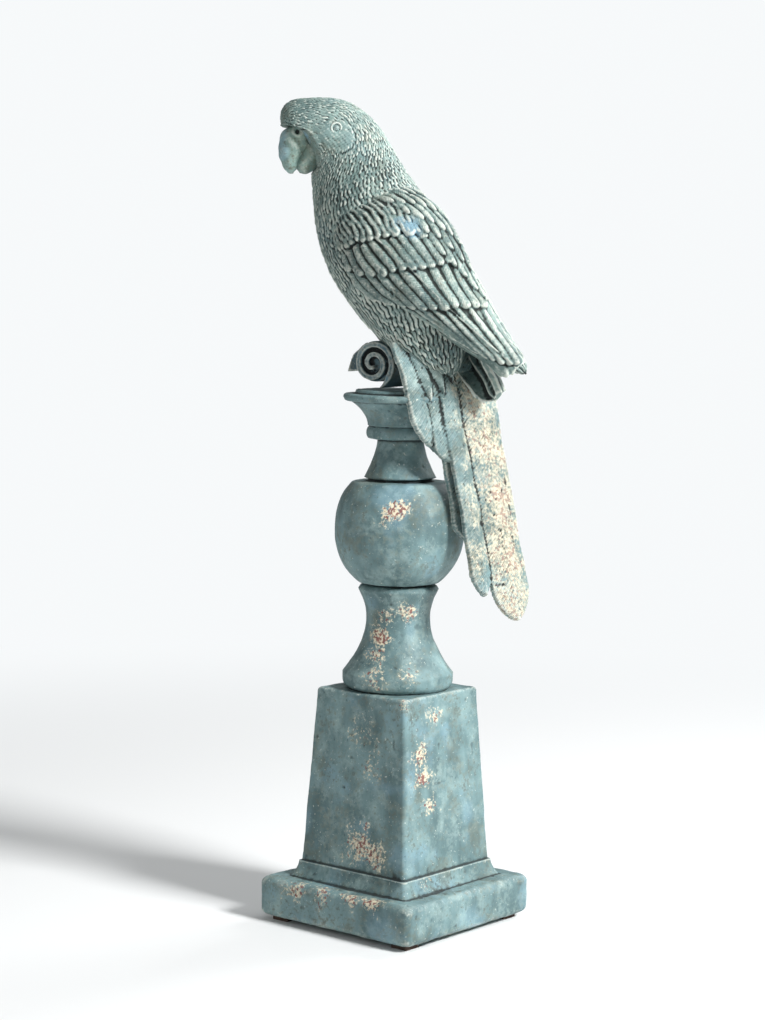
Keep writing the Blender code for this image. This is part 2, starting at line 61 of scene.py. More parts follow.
VIEW_DISTANCE = 1.41696
VIEW_HEIGHT = 0.3789
VIEW_TURN = math.radians(-0.412)
VIEW_PITCH = math.radians(-5.49)
VIEW_ROLL = math.radians(0.713)

lens = bpy.data.cameras.new("photo_view")
lens.lens = LENS
lens.sensor_width = SENSOR_WIDTH
camera = bpy.data.objects.new("photo_view", lens)
bpy.context.scene.collection.objects.link(camera)
camera.matrix_world = (
    Matrix.Translation((
        math.sin(VIEW_AZIMUTH) * VIEW_DISTANCE,
        -math.cos(VIEW_AZIMUTH) * VIEW_DISTANCE,
        VIEW_HEIGHT,
    ))
    @ Matrix.Rotation(VIEW_AZIMUTH - VIEW_TURN, 4, "Z")
    @ Matrix.Rotation(math.pi / 2 + VIEW_PITCH, 4, "X")
    @ Matrix.Rotation(VIEW_ROLL, 4, "Z")
)
bpy.context.scene.camera = camera

# The plinth is the foot of the one casting: a slab with soft edges, a hollow flare and a tapered block.
# It is resin from a hand-finished mould, so its faces wander a little and its corners are knocked.
BASE_SIDE, SLAB_HEIGHT, SLAB_ROUND = 115, 23.2, 4
FLARE_FOOT_SIDE, FLARE_TOP_SIDE, FLARE_HEIGHT, FLARE_CURVE = 90, 82.5, 9.5, 1.8
BLOCK_FOOT_SIDE, BLOCK_TOP_SIDE, BLOCK_HEIGHT, BLOCK_ROUND = 80.4, 68.1, 114.2, 2.5
TOP_ROUND = 1.8
SINK = 3
BLOCK_TOP = SLAB_HEIGHT + BLOCK_HEIGHT


def grid_faces(rows, columns, ring):
    """The faces between the points of a grid. In a ring, each row's last point joins its first."""
    width = columns if ring else columns - 1
    first = (np.arange(rows - 1)[:, None] * columns + np.arange(width)).ravel()
    second = (np.arange(rows - 1)[:, None] * columns + (np.arange(width) + 1) % columns).ravel()
    return np.stack([first, second, second + columns, first + columns], 1)


def tube(rings):
    """Points and faces of a closed form through rings of points, shut at both ends."""
    rows, columns = rings.shape[:2]
    ends = [list(range(columns))[::-1], list(range((rows - 1) * columns, rows * columns))]
    return rings.reshape(-1, 3), grid_faces(rows, columns, True).tolist() + ends


def slab_form(top, bottom):
    """Points and faces of a closed form between two sheets of points."""
    rows, columns = top.shape[:2]
    count = rows * columns
    upper = grid_faces(rows, columns, False)
    lower = upper[:, ::-1] + count
    place = np.arange(count).reshape(rows, columns)
    rim = np.concatenate([place[0], place[1:, -1], place[-1, -2::-1], place[-2:0:-1, 0]])
    after = np.roll(rim, -1)
    walls = np.stack([after, rim, rim + count, after + count], 1)
    points = np.concatenate([top.reshape(-1, 3), bottom.reshape(-1, 3)])
    return points, np.concatenate([upper, lower, walls]).tolist()


def new_mesh(name, points, faces):
    """A mesh whose faces point out, from points in metres."""
    mesh = bpy.data.meshes.new(name)
    mesh.from_pydata(points.tolist(), [], faces)
    mesh.calc_loop_triangles()
    corners = np.empty(len(mesh.loop_triangles) * 3, np.int32)
    mesh.loop_triangles.foreach_get("vertices", corners)
    a, b, c = (points[corners[k::3]] for k in range(3))
    if np.einsum("ij,ij->i", a, np.cross(b, c)).sum() < 0:
        mesh.flip_normals()
    mesh.shade_smooth()
    return mesh


def mesh_points(mesh):
    points = np.empty(len(mesh.vertices) * 3, np.float32)
    mesh.vertices.foreach_get("co", points)
    return points.reshape(-1, 3).astype(float)


def mesh_normals(mesh):
    normals = np.empty(len(mesh.vertices) * 3, np.float32)
    mesh.vertex_normals.foreach_get("vector", normals)
    return normals.reshape(-1, 3).astype(float)


def push_out(mesh, heights):
    """Moves each point along its normal, by heights in millimetres."""
    points = mesh_points(mesh) + mesh_normals(mesh) * (heights * MM)[:, None]
    mesh.vertices.foreach_set("co", points.astype(np.float32).ravel())
    mesh.update()


def store(mesh, name, values):
    """Keeps a number at each point of a mesh, for its material to read."""
    mesh.attributes.new(name, "FLOAT", "POINT").data.foreach_set("value", values.astype(np.float32))


def hashed(*numbers):
    """Random numbers from 0 to 1 that depend on whole numbers alone."""
    mixed = np.zeros(np.broadcast(*numbers).shape, np.uint32)
    for number in numbers:
        mixed = (mixed ^ np.asarray(number).astype(np.int64).astype(np.uint32)) * np.uint32(2654435761)
        mixed ^= mixed >> np.uint32(15)
    return mixed.astype(float) / 2**32


def lumps(points, size, seed):
    """Smooth random heights from -1 to 1 at points in metres, with lumps of a size in millimetres."""
    cells = points / (size * MM)
    corner = np.floor(cells).astype(np.int64)
    part = cells - corner
    part = part * part * (3 - 2 * part)
    total = np.zeros(len(points))
    for x in (0, 1):
        for y in (0, 1):
            for z in (0, 1):
                near = np.where((x, y, z), part, 1 - part).prod(1)
                total += near * hashed(corner[:, 0] + x, corner[:, 1] + y, corner[:, 2] + z, np.int64(seed))
    return total * 2 - 1


# Height and size of the casting's waves, lumps and two grits, then of its pits and how rare they are
CAST_LUMPS = ((0.35, 23), (0.16, 8), (0.09, 3), (0.05, 1.4))
PIT_DEPTH, PIT_SIZE, PIT_RARITY = 0.9, 4.5, 0.62


def hand_cast(mesh, seed, strength=1.0):
    """Uneven surface of a hand-finished casting: broad waves, small lumps, fine grit and a few pits."""
    points = mesh_points(mesh)
    heights = sum(height * lumps(points, size, seed + k) for k, (height, size) in enumerate(CAST_LUMPS))
    pits = np.clip(lumps(points, PIT_SIZE, seed + len(CAST_LUMPS)) - PIT_RARITY, 0, 1) * PIT_DEPTH
    push_out(mesh, (heights - pits) * strength)


# Relief close by and further off: after how many rounds of smoothing it is read, and the most it can be
RELIEF_ROUNDS = {8: ("close_relief", 12), 60: ("broad_relief", 60)}
DEEPEST_RELIEF = -60


def read_relief(mesh):
    """Stores at each point how far it stands out of its surroundings, in tenths of a millimetre. The paint
    uses it for pale rubbed wear and painted highlight on what stands out, and for a dark wash and painted
    shade in what lies deep."""
    points, normals = mesh_points(mesh), mesh_normals(mesh)
    edges = np.empty(len(mesh.edges) * 2, np.int32)
    mesh.edges.foreach_get("vertices", edges)
    a, b = edges[::2], edges[1::2]
    count = len(points)
    shared = np.maximum(np.bincount(a, minlength=count) + np.bincount(b, minlength=count), 1)
    smooth = points.copy()
    for step in range(1, max(RELIEF_ROUNDS) + 1):
        around = np.stack([
            np.bincount(a, smooth[b, k], count) + np.bincount(b, smooth[a, k], count) for k in range(3)
        ], 1) / shared[:, None]
        smooth = (smooth + around) / 2
        if step in RELIEF_ROUNDS:
            name, most = RELIEF_ROUNDS[step]
            height = np.einsum("ij,ij->i", points - smooth, normals) / (0.1 * MM)
            store(mesh, name, np.clip(height, DEEPEST_RELIEF, most))


def new_piece(name, mesh, finish):
    """A piece of the casting's surface in its paint, which rides with the casting and takes its place."""
    read_relief(mesh)
    piece = bpy.data.objects.new(name, mesh)
    bpy.context.scene.collection.objects.link(piece)
    mesh.materials.clear()
    mesh.materials.append(finish)
    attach(piece, "root")
    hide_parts("figurine_casting")


class Tone:
    """A socket of a material. Sums on it add Math nodes, and node() adds any other node."""

    def __init__(self, tree, socket=None):
        self.tree, self.socket = tree, socket

    def node(self, kind, settings=None, sockets=None, out=0):
        made = self.tree.nodes.new("ShaderNode" + kind)
        for name, value in (settings or {}).items():
            if name == "stops":
                ramp = made.color_ramp
                while len(ramp.elements) < len(value):
                    ramp.elements.new(0.5)
                for stop, (place, colour) in zip(ramp.elements, value):
                    stop.position, stop.color = place, (*colour, 1)
            else:
                setattr(made, name, value)
        for name, value in (sockets or {}).items():
            self.feed(made.inputs[name], value)
        return Tone(self.tree, made.outputs[out])

    def feed(self, socket, value):
        if isinstance(value, Tone):
            self.tree.links.new(value.socket, socket)
        else:
            socket.default_value = value

    def sum(self, operation, first, second):
        return self.node("Math", {"operation": operation}, {0: first, 1: second})

    def __add__(self, other):
        return self.sum("ADD", self, other)

    def __radd__(self, other):
        return self.sum("ADD", other, self)

    def __sub__(self, other):
        return self.sum("SUBTRACT", self, other)

    def __rsub__(self, other):
        return self.sum("SUBTRACT", other, self)

    def __mul__(self, other):
        return self.sum("MULTIPLY", self, other)

    def __rmul__(self, other):
        return self.sum("MULTIPLY", other, self)

    def between(self, low, high):
        """0 where the value is at low and 1 where it is at high, with a soft change."""
        settings = {"interpolation_type": "SMOOTHSTEP"}
        return self.node("MapRange", settings, {"Value": self, "From Min": low, "From Max": high})

    def coat(self, under, over):
        """The colour under where this mask is 0, and the colour over where it is 1."""
        settings = {"data_type": "RGBA", "clamp_factor": True}
        return self.node("Mix", settings, {0: self, 6: under, 7: over}, out=2)


def paint(red, green, blue):
    """A paint's colour, written as it looks on a screen from 0 to 255, in the numbers that light needs."""
    def light(value):
        value /= 255
        return value / 12.92 if value <= 0.04045 else ((value + 0.055) / 1.055) ** 2.4
    return (light(red), light(green), light(blue), 1)


DEEP_TEAL = paint(76, 100, 102)
TEAL = paint(110, 138, 140)
PALE_TEAL = paint(152, 175, 172)
BONE = paint(210, 214, 204)
CREAM = paint(206, 197, 172)
RUST = paint(116, 64, 60)
OLIVE = paint(88, 88, 70)
UMBER = paint(46, 41, 33)
SOOT_AND_SHADE = paint(15, 17, 17)
SKY_BLUE = paint(128, 166, 184)
BARB_SLANT = 0.9


def weathered_paint(name, look, blots=(), skies=()):
    """The casting's paint: teal over cream over rust red, rubbed pale on what stands out, which is partly
    worn paint and partly painted highlight, and dark in what lies deep, which is a dark wash with painted
    shade, with painted shade in broad hollows too. look holds the shares of each. blots are worn places and
    skies are blue ones, each a point, a radius and a strength."""
    finish = bpy.data.materials.new(name)
    finish.use_nodes = True
    tree = finish.node_tree
    shader = tree.nodes["Principled BSDF"]
    start = Tone(tree)
    place = start.node("TexCoord", out="Object")
    close = start.node("Attribute", {"attribute_name": "close_relief"}, out="Fac")
    broad = start.node("Attribute", {"attribute_name": "broad_relief"}, out="Fac")

    def grain(size, detail=3.0, stretch=(1, 1, 1), roughness=0.55, shift=0.0):
        """Cloudy noise with lumps of a size in millimetres."""
        spot = start.node("Mapping", None, {
            "Vector": place, "Location": (shift, shift, shift), "Scale": [k / (size * MM) for k in stretch],
        })
        sockets = {"Vector": spot, "Scale": 1.0, "Detail": detail, "Roughness": roughness}
        return start.node("TexNoise", None, sockets)

    clouds = grain(38, 4)
    drift = grain(12, 4, shift=7)
    flecks = grain(3.0, 5, roughness=0.7)
    dust = grain(1.2, 3)
    chips = grain(1.7, 4, roughness=0.6, shift=31)
    runs = grain(10, 4, (1, 1, 0.25), shift=3)
    colour = (clouds * 0.6 + runs * 0.4).between(0.38, 0.64).coat(look["deep"], look["main"])
    mottled = (drift * 0.55 + flecks * 0.45).between(0.44, 0.66) * look["mottle"]
    colour = mottled.coat(colour, look["light"])

    def near(spot, radius, wander, full, strength):
        """1 round a point on the casting, in millimetres, fading out raggedly."""
        spot = [k * MM for k in spot]
        away = start.node("VectorMath", {"operation": "DISTANCE"}, {0: place, 1: spot}, out="Value")
        return (1.1 - away * (1 / (radius * MM)) + (drift - 0.5) * wander).between(0.0, full) * strength

    blue = grain(26, 2, shift=17).between(0.52, 0.70) * look["blue"]
    for spot, radius, strength in skies:
        blue = start.sum("MAXIMUM", blue, near(spot, radius, 1.2, 0.6, strength))
    colour = blue.coat(colour, SKY_BLUE)
    olive = (grain(17, 4, shift=23) * 0.5 + flecks * 0.5).between(0.49, 0.62) * look["olive"]
    colour = olive.coat(colour, OLIVE)

    worn = (drift * 0.5 + clouds * 0.5).between(0.60, 0.78) * look["worn"]
    for spot, radius, strength in blots:
        worn = start.sum("MAXIMUM", worn, near(spot, radius, 2.2, 1.2, strength))
    low, high = look["chip"]
    cream = (chips + flecks * 0.3 + worn * 0.30).between(low, high) * worn.between(0.02, 0.2)
    colour = cream.coat(colour, CREAM)
    red_chips = grain(2.1, 4, roughness=0.6, shift=47)
    red = (red_chips + worn * 0.22).between(0.68, 0.74) * worn.between(0.15, 0.4)
    colour = (red * look["red"]).coat(colour, RUST)

    # Pale on what stands out: partly paint rubbed off the ridges, partly a painted highlight.
    rough_spots = (flecks - 0.5) * 1.0 + (dust - 0.5) * 0.9 + (clouds - 0.5) * 0.7
    stands = close * (1 / look["rub_and_highlight_to"]) + rough_spots
    stands = stands.between(look["rub_and_highlight_from"], look["rub_and_highlight_from"] + 0.8)
    colour = (stands * look["rub_and_highlight"]).coat(colour, look["rubbed_and_highlight"])
    grime = (clouds * 0.4 + flecks * 0.6).between(0.54, 0.68) * look["grime"]
    colour = grime.coat(colour, UMBER)
    # Dark in what lies deep: a dark wash with painted shade in the crevices, and painted shade in the broad
    # hollows.
    deep = ((0 - close) * (1 / look["wash_and_shade_to"]) + (flecks - 0.5) * 0.6).between(0.06, 0.8)
    hollow = (0 - broad).between(look["hollow"] * 0.3, look["hollow"]) * 0.6
    wash_and_shade = start.sum("MAXIMUM", deep, hollow) * look["wash_and_shade"]
    colour = wash_and_shade.coat(colour, SOOT_AND_SHADE)
    specks = (dust * 0.5 + chips * 0.5).between(0.60, 0.66) * (1 - wash_and_shade)
    colour = (specks * look["specks"]).coat(colour, BONE)
    pinholes = (dust * 0.6 + flecks * 0.4).between(0.38, 0.33) * look["pinholes"]
    colour = pinholes.coat(colour, SOOT_AND_SHADE)

    rough = 0.60 + (flecks - 0.5) * 0.35 + wash_and_shade * 0.2
    lift = flecks * 0.5 + dust * 0.3 + grain(0.5, 2) * 0.1 - cream * 0.2 - pinholes * 0.3
    if look.get("barbs"):
        along = start.node("Attribute", {"attribute_name": "along_feather"}, out="Fac")
        aside = start.node("Attribute", {"attribute_name": "beside_shaft"}, out="Fac")
        slant = along - start.node("Math", {"operation": "ABSOLUTE"}, {0: aside}) * BARB_SLANT
        turn = slant * (2 * math.pi / look["barbs"]) + drift * 4
        wave = start.node("Math", {"operation": "SINE"}, {0: turn})
        lift = lift + wave * 0.2
        # The colour is darker on the low side of each barb wave, in the grooves between the barbs.
        colour = (wave.between(-0.2, -1.0) * look["barb_groove_dark"]).coat(colour, UMBER)
    bump = start.node("Bump", None, {"Height": lift, "Distance": look["bump"] * MM, "Strength": 0.9})
    start.feed(shader.inputs["Base Color"], colour)
    start.feed(shader.inputs["Roughness"], rough)
    start.feed(shader.inputs["Normal"], bump)
    shader.inputs["Specular IOR Level"].default_value = 0.4
    return finish


PEDESTAL_LOOK = {
    "deep": DEEP_TEAL, "main": TEAL, "light": PALE_TEAL, "rubbed_and_highlight": BONE,
    "mottle": 0.6, "blue": 0.3, "olive": 0.45, "worn": 0.3, "red": 0.9, "chip": (0.77, 0.94),
    "rub_and_highlight": 0.4, "rub_and_highlight_from": 0.3, "rub_and_highlight_to": 16, "wash_and_shade": 0.85, "wash_and_shade_to": 3.0, "hollow": 14,
    "grime": 0.45, "specks": 0.6, "pinholes": 0.6, "bump": 0.45,
}


def rounded_square(flat_points, corner_points):
    """Points round a square with round corners: the middle that each bends round, and which way it faces."""
    centres, ways = [], []
    side_centres = [(1, -1 + 2 * k / (flat_points - 1)) for k in range(flat_points)]
    side_centres += [(1, 1)] * corner_points
    bends = [math.pi / 2 * k / (corner_points + 1) for k in range(1, corner_points + 1)]
    side_ways = [(math.cos(angle), math.sin(angle)) for angle in [0] * flat_points + bends]
    for side in range(4):
        centres += side_centres
        ways += side_ways
        side_centres = [(-y, x) for x, y in side_centres]
        side_ways = [(-y, x) for x, y in side_ways]
    return np.array(centres, float), np.array(ways, float)


def square_rings(profile, centres, ways):
    """Rings of points for a profile of half side, corner radius and height."""
    half, corner, height = (np.array(column, float)[:, None] for column in zip(*profile))
    flat = centres[None] * (half - corner)[..., None] + ways[None] * corner[..., None]
    return np.concatenate([flat, np.broadcast_to(height[..., None], (*flat.shape[:2], 1))], -1) * MM


half_base = BASE_SIDE / 2
plinth_profile = []
for half in np.linspace(2, half_base - SLAB_ROUND, 9):
    plinth_profile.append((half, SLAB_ROUND * half / half_base, 0))
for angle in np.radians(np.linspace(12, 90, 7)):
    inset = SLAB_ROUND * (1 - math.sin(angle))
    plinth_profile.append((half_base - inset, SLAB_ROUND, SLAB_ROUND * (1 - math.cos(angle))))
for height in np.linspace(SLAB_ROUND + 1, SLAB_HEIGHT - SLAB_ROUND, 16):
    plinth_profile.append((half_base, SLAB_ROUND, height))
for angle in np.radians(np.linspace(80, 0, 8)):
    inset = SLAB_ROUND * (1 - math.sin(angle))
    plinth_profile.append((half_base - inset, SLAB_ROUND, SLAB_HEIGHT - SLAB_ROUND * (1 - math.cos(angle))))
for half in np.linspace(half_base - SLAB_ROUND, FLARE_FOOT_SIDE / 2, 10)[1:-1]:
    plinth_profile.append((half, SLAB_ROUND, SLAB_HEIGHT))
for share in np.linspace(0, 1, 14):
    spread = (FLARE_FOOT_SIDE - FLARE_TOP_SIDE) / 2 * (1 - share) ** FLARE_CURVE
    plinth_profile.append((FLARE_TOP_SIDE / 2 + spread, BLOCK_ROUND, SLAB_HEIGHT + FLARE_HEIGHT * share))
block_foot = SLAB_HEIGHT + FLARE_HEIGHT - SINK
for height in np.linspace(SLAB_HEIGHT + FLARE_HEIGHT + 0.3, BLOCK_TOP - TOP_ROUND, 104):
    share = (height - block_foot) / (BLOCK_TOP - block_foot)
    half = (BLOCK_FOOT_SIDE + (BLOCK_TOP_SIDE - BLOCK_FOOT_SIDE) * share) / 2
    plinth_profile.append((half, BLOCK_ROUND, height))
for angle in np.radians((72, 50, 25, 0)):
    inset = TOP_ROUND * (1 - math.sin(angle))
    height = BLOCK_TOP - TOP_ROUND * (1 - math.cos(angle))
    plinth_profile.append((BLOCK_TOP_SIDE / 2 - inset, BLOCK_ROUND, height))
for half in np.linspace(BLOCK_TOP_SIDE / 2 - 2.6, 2, 26):
    plinth_profile.append((half, BLOCK_ROUND * half / (BLOCK_TOP_SIDE / 2), BLOCK_TOP))

FLAT_POINTS, CORNER_POINTS = 62, 9
plinth_rings = square_rings(plinth_profile, *rounded_square(FLAT_POINTS, CORNER_POINTS))
mesh = new_mesh("square_plinth", *tube(plinth_rings))
hand_cast(mesh, seed=11)
plinth_paint = weathered_paint("plinth_paint", {**PEDESTAL_LOOK, "rub_and_highlight": 0.5, "rub_and_highlight_to": 4.5}, [
    ((23, 36, 103), 12, 0.9), ((19, 37, 90), 11, 1.0), ((15, 38, 74), 12, 0.8), ((9, 34, 126), 10, 0.7),
    ((39, 6, 50), 17, 0.8), ((39, 18, 46), 13, 0.8), ((36, 12, 98), 14, 0.5), ((35, 4, 112), 20, 0.35),
    ((57, 30, 22), 12, 0.8), ((57, 12, 24), 12, 0.9), ((57, -8, 23), 13, 0.8), ((57, -28, 22), 14, 0.8),
    ((34, 34, 137), 9, 0.7), ((22, 40, 30), 9, 0.5),
])
new_piece("square_plinth", mesh, plinth_paint)

# The turned finial stands on the block: a waisted foot, a ball between two grooves, a hollow neck, a bead and
# a flared cap with a low disc on it. It was turned in wood for the pattern, then cast with the rest.
WAIST_FOOT_RADIUS, WAIST_FOOT_HEIGHT, WAIST_RADIUS = 32.8, 9, 18.8
WAIST_TOP_RADIUS, WAIST_HEIGHT = 23.8, 60.9
WAIST_PLACE, WAIST_CURVE = 0.35, 1.9
BALL_RADIUS, BALL_HALF_HEIGHT, BALL_SQUARE_ABOVE, BALL_SQUARE_BELOW = 38.3, 30, 2.5, 2
NECK_FOOT_RADIUS, NECK_RADIUS, NECK_HEIGHT, NECK_CURVE = 21.4, 13.6, 22.8, 1.6
BEAD_RADIUS, BEAD_HEIGHT = 20.3, 7.6
CAP_FOOT_RADIUS, CAP_RADIUS, CAP_LIP, CAP_HEIGHT, CAP_CURVE = 19.6, 34.2, 4, 18.8, 2
CAP_ROUND_WIDTH, CAP_ROUND_HEIGHT = 1.6, 1.7
PERCH_RADIUS, PERCH_HEIGHT = 27, 2.5
GROOVE_DEPTH, GROOVE_HEIGHT = 2.5, 2
WAIST_TOP = BLOCK_TOP + WAIST_HEIGHT
BALL_CENTRE = WAIST_TOP + GROOVE_HEIGHT + BALL_HALF_HEIGHT
NECK_FOOT = BALL_CENTRE + BALL_HALF_HEIGHT + GROOVE_HEIGHT
BEAD_FOOT = NECK_FOOT + NECK_HEIGHT
CAP_FOOT = BEAD_FOOT + BEAD_HEIGHT
CAP_TOP = CAP_FOOT + CAP_HEIGHT

turned = [(0.8, CAP_TOP + PERCH_HEIGHT), (PERCH_RADIUS - 1.2, CAP_TOP + PERCH_HEIGHT)]
turned += [(PERCH_RADIUS - 0.4, CAP_TOP + PERCH_HEIGHT - 0.4), (PERCH_RADIUS, CAP_TOP + 0.6)]
turned += [(PERCH_RADIUS + 0.6, CAP_TOP), (CAP_RADIUS - CAP_ROUND_WIDTH, CAP_TOP)]
for angle in np.radians(np.linspace(0, 150, 7)):
    radius = CAP_RADIUS - CAP_ROUND_WIDTH * (1 - math.sin(angle))
    turned.append((radius, CAP_TOP - CAP_ROUND_HEIGHT * (1 - math.cos(angle))))
turned.append((CAP_RADIUS - 0.9, CAP_TOP - CAP_LIP))
for share in np.linspace(0.04, 1, 14):
    reach = (CAP_RADIUS - CAP_LIP - CAP_FOOT_RADIUS) * (1 - share) ** CAP_CURVE
    turned.append((CAP_FOOT_RADIUS + reach, CAP_TOP - CAP_LIP + (CAP_FOOT - CAP_TOP + CAP_LIP) * share))
for angle in np.linspace(math.pi / 2, -math.pi / 2, 10):
    bulge = BEAD_RADIUS - BEAD_HEIGHT / 4 * (1 - math.cos(angle))
    turned.append((bulge, BEAD_FOOT + BEAD_HEIGHT / 2 * (1 + 0.96 * math.sin(angle))))
for share in np.linspace(0, 1, 16):
    radius = NECK_RADIUS + (NECK_FOOT_RADIUS - NECK_RADIUS) * share**NECK_CURVE
    turned.append((radius, BEAD_FOOT - NECK_HEIGHT * share))
turned += [(NECK_FOOT_RADIUS - GROOVE_DEPTH, NECK_FOOT - GROOVE_HEIGHT * share) for share in (0.25, 1)]
for height in BALL_HALF_HEIGHT * np.cos(np.linspace(0.18, math.pi - 0.1, 60)):
    square = BALL_SQUARE_ABOVE if height > 0 else BALL_SQUARE_BELOW
    turned.append(((BALL_RADIUS**square - abs(height) ** square) ** (1 / square), BALL_CENTRE + height))
turned += [(WAIST_TOP_RADIUS - 2 * GROOVE_DEPTH, WAIST_TOP + GROOVE_HEIGHT / 2)]
turned += [(WAIST_TOP_RADIUS - GROOVE_DEPTH / 2, WAIST_TOP), (WAIST_TOP_RADIUS, WAIST_TOP - GROOVE_HEIGHT)]
shaft = WAIST_HEIGHT - GROOVE_HEIGHT - WAIST_FOOT_HEIGHT
for share in np.linspace(0.1, 1, 40):
    above = share < WAIST_PLACE
    wide = WAIST_TOP_RADIUS if above else WAIST_FOOT_RADIUS
    bend = abs(share - WAIST_PLACE) / (WAIST_PLACE if above else 1 - WAIST_PLACE)
    radius = WAIST_RADIUS + (wide - WAIST_RADIUS) * bend**WAIST_CURVE
    turned.append((radius, WAIST_TOP - GROOVE_HEIGHT - shaft * share))
turned.append((WAIST_FOOT_RADIUS, BLOCK_TOP + WAIST_FOOT_HEIGHT / 2))
turned += [(WAIST_FOOT_RADIUS - 0.8, BLOCK_TOP + 2), (WAIST_FOOT_RADIUS - WAIST_FOOT_HEIGHT / 3, BLOCK_TOP)]
turned += [(WAIST_FOOT_RADIUS - WAIST_FOOT_HEIGHT / 3, BLOCK_TOP - SINK), (0.8, BLOCK_TOP - SINK)]


def even_rows(line, step):
    """The points of a line, moved to even distances of about one step."""
    line = np.array(line, float)
    lengths = np.concatenate([[0], np.cumsum(np.linalg.norm(np.diff(line, axis=0), axis=1))])
    stops = np.linspace(0, lengths[-1], int(lengths[-1] / step))
    return np.stack([np.interp(stops, lengths, line[:, k]) for k in range(line.shape[1])], 1)


def lathe(line, sides):
    """Rings of points round the upright axis, for a line of radius and height in millimetres."""
    around = np.linspace(0, 2 * math.pi, sides, endpoint=False)
    radius, height = line[:, :1], line[:, 1:]
    level = np.broadcast_to(height, (len(line), sides))
    return np.stack([radius * np.cos(around), radius * np.sin(around), level], -1) * MM


FINIAL_STEP, FINIAL_SIDES = 0.95, 184
mesh = new_mesh("turned_finial", *tube(lathe(even_rows(turned, FINIAL_STEP), FINIAL_SIDES)))
hand_cast(mesh, seed=31)
finial_paint = weathered_paint("finial_paint", PEDESTAL_LOOK, [
    ((22, 6, 180), 11, 0.9), ((21, 4, 170), 12, 1.0), ((25, 3, 160), 11, 0.8), ((11, 17, 184), 10, 0.9),
    ((32, 16, 243), 9, 0.8), ((30, 22, 246), 9, 1.0), ((26, 27, 249), 8, 0.8), ((31, 8, 149), 12, 0.6),
    ((20, 25, 150), 10, 0.5),
])
new_piece("turned_finial", mesh, finial_paint)

# The scroll lies across the cap under the bird: a band rolled up on itself round a drum, so that its two ends
# show the spiral, with a leaf at the front. It was modelled in clay on the pattern, and its edges are soft.
SCROLL_RADIUS, SCROLL_LENGTH, SCROLL_FORWARD, SCROLL_BAND, SCROLL_CORE_RADIUS = 15.5, 38, 9, 3.6, 3.4
SCROLL_TURNS, SCROLL_RELIEF, SCROLL_START, SCROLL_GRAIN = 2.0, 3.5, math.radians(-110), 0.62
LEAF_REACH, LEAF_WIDTH = 5, 26
LEAF_OUTLINE = ((0.5, 0, 0.8), (1, 0.3, 0.3), (1, 1, -0.35), (0.85, 0, -0.3), (0.75, 0, 0))
BIRD_TURN = math.radians(10)


def on_perch(points):
    """World places in metres of points given in millimetres forward, left and up from the cap's middle."""
    forward, left, up = np.moveaxis(np.asarray(points, float), -1, 0)
    x = left * math.cos(BIRD_TURN) + forward * math.sin(BIRD_TURN)
    y = left * math.sin(BIRD_TURN) - forward * math.cos(BIRD_TURN)
    return np.stack([x, y, up + CAP_TOP], -1) * MM


def joined(forms):
    """The points and faces of several forms, in one set."""
    faces, first = [], 0
    for points, form_faces in forms:
        faces += [[corner + first for corner in face] for face in form_faces]
        first += len(points)
    return np.concatenate([points for points, _ in forms]), faces


def fused(name, forms, grain, rounds):
    """One soft skin round several closed forms, as when they are cast together."""
    points, faces = joined(forms)
    rough = bpy.data.meshes.new(name + "_forms")
    rough.from_pydata(points.tolist(), [], faces)
    holder = bpy.data.objects.new(name + "_forms", rough)
    bpy.context.scene.collection.objects.link(holder)
    remesh = holder.modifiers.new("one skin", "REMESH")
    remesh.mode = "VOXEL"
    remesh.voxel_size = grain * MM
    soften = holder.modifiers.new("soft edges", "SMOOTH")
    soften.factor = 0.5
    soften.iterations = rounds
    shown = holder.evaluated_get(bpy.context.evaluated_depsgraph_get())
    mesh = bpy.data.meshes.new_from_object(shown)
    mesh.name = name
    mesh.shade_smooth()
    bpy.data.objects.remove(holder)
    bpy.data.meshes.remove(rough)
    return mesh


def outward(form):
    """The same closed form, with its faces turned to point out."""
    points, faces = form
    first = np.array([face[:3] for face in faces if len(face) == 4])
    third = np.array([[face[0], face[2], face[3]] for face in faces if len(face) == 4])
    sides = np.concatenate([first, third])
    ends = [face for face in faces if len(face) != 4]
    fans = [[face[0], face[k], face[k + 1]] for face in ends for k in range(1, len(face) - 1)]
    if fans:
        sides = np.concatenate([sides, np.array(fans)])
    a, b, c = points[sides[:, 0]], points[sides[:, 1]], points[sides[:, 2]]
    if np.einsum("ij,ij->i", a, np.cross(b, c)).sum() < 0:
        faces = [list(face)[::-1] for face in faces]
    return points, faces


def scroll_place(forward, side, up):
    """World places of points given from the middle of the roll."""
    forward, side, up = np.broadcast_arrays(forward, side, up)
    return on_perch(np.stack([forward + SCROLL_FORWARD, side, up + PERCH_HEIGHT + SCROLL_RADIUS], -1))


share = np.linspace(0, 1, 150)[:, None]
angle = SCROLL_START - 2 * math.pi * SCROLL_TURNS * share
reach = SCROLL_RADIUS + (SCROLL_CORE_RADIUS - SCROLL_RADIUS) * share
wall = SCROLL_BAND * (1 - 0.3 * share) * np.clip(share / 0.06 + 0.25, 0, 1)
side = np.linspace(-1, 1, 40)[None, :] * SCROLL_LENGTH / 2
dip = 0.5 * np.cos(side / (SCROLL_LENGTH / 2) * math.pi / 2) ** 0.5
band = slab_form(
    scroll_place((reach - dip) * np.cos(angle), side, (reach - dip) * np.sin(angle)),
    scroll_place((reach - wall) * np.cos(angle), side, (reach - wall) * np.sin(angle)),
)
around = np.linspace(0, 2 * math.pi, 60, endpoint=False)[None, :]
drum_length = np.linspace(-1, 1, 20)[:, None] * (SCROLL_LENGTH / 2 - SCROLL_RELIEF)
drum_radius = SCROLL_RADIUS - SCROLL_BAND
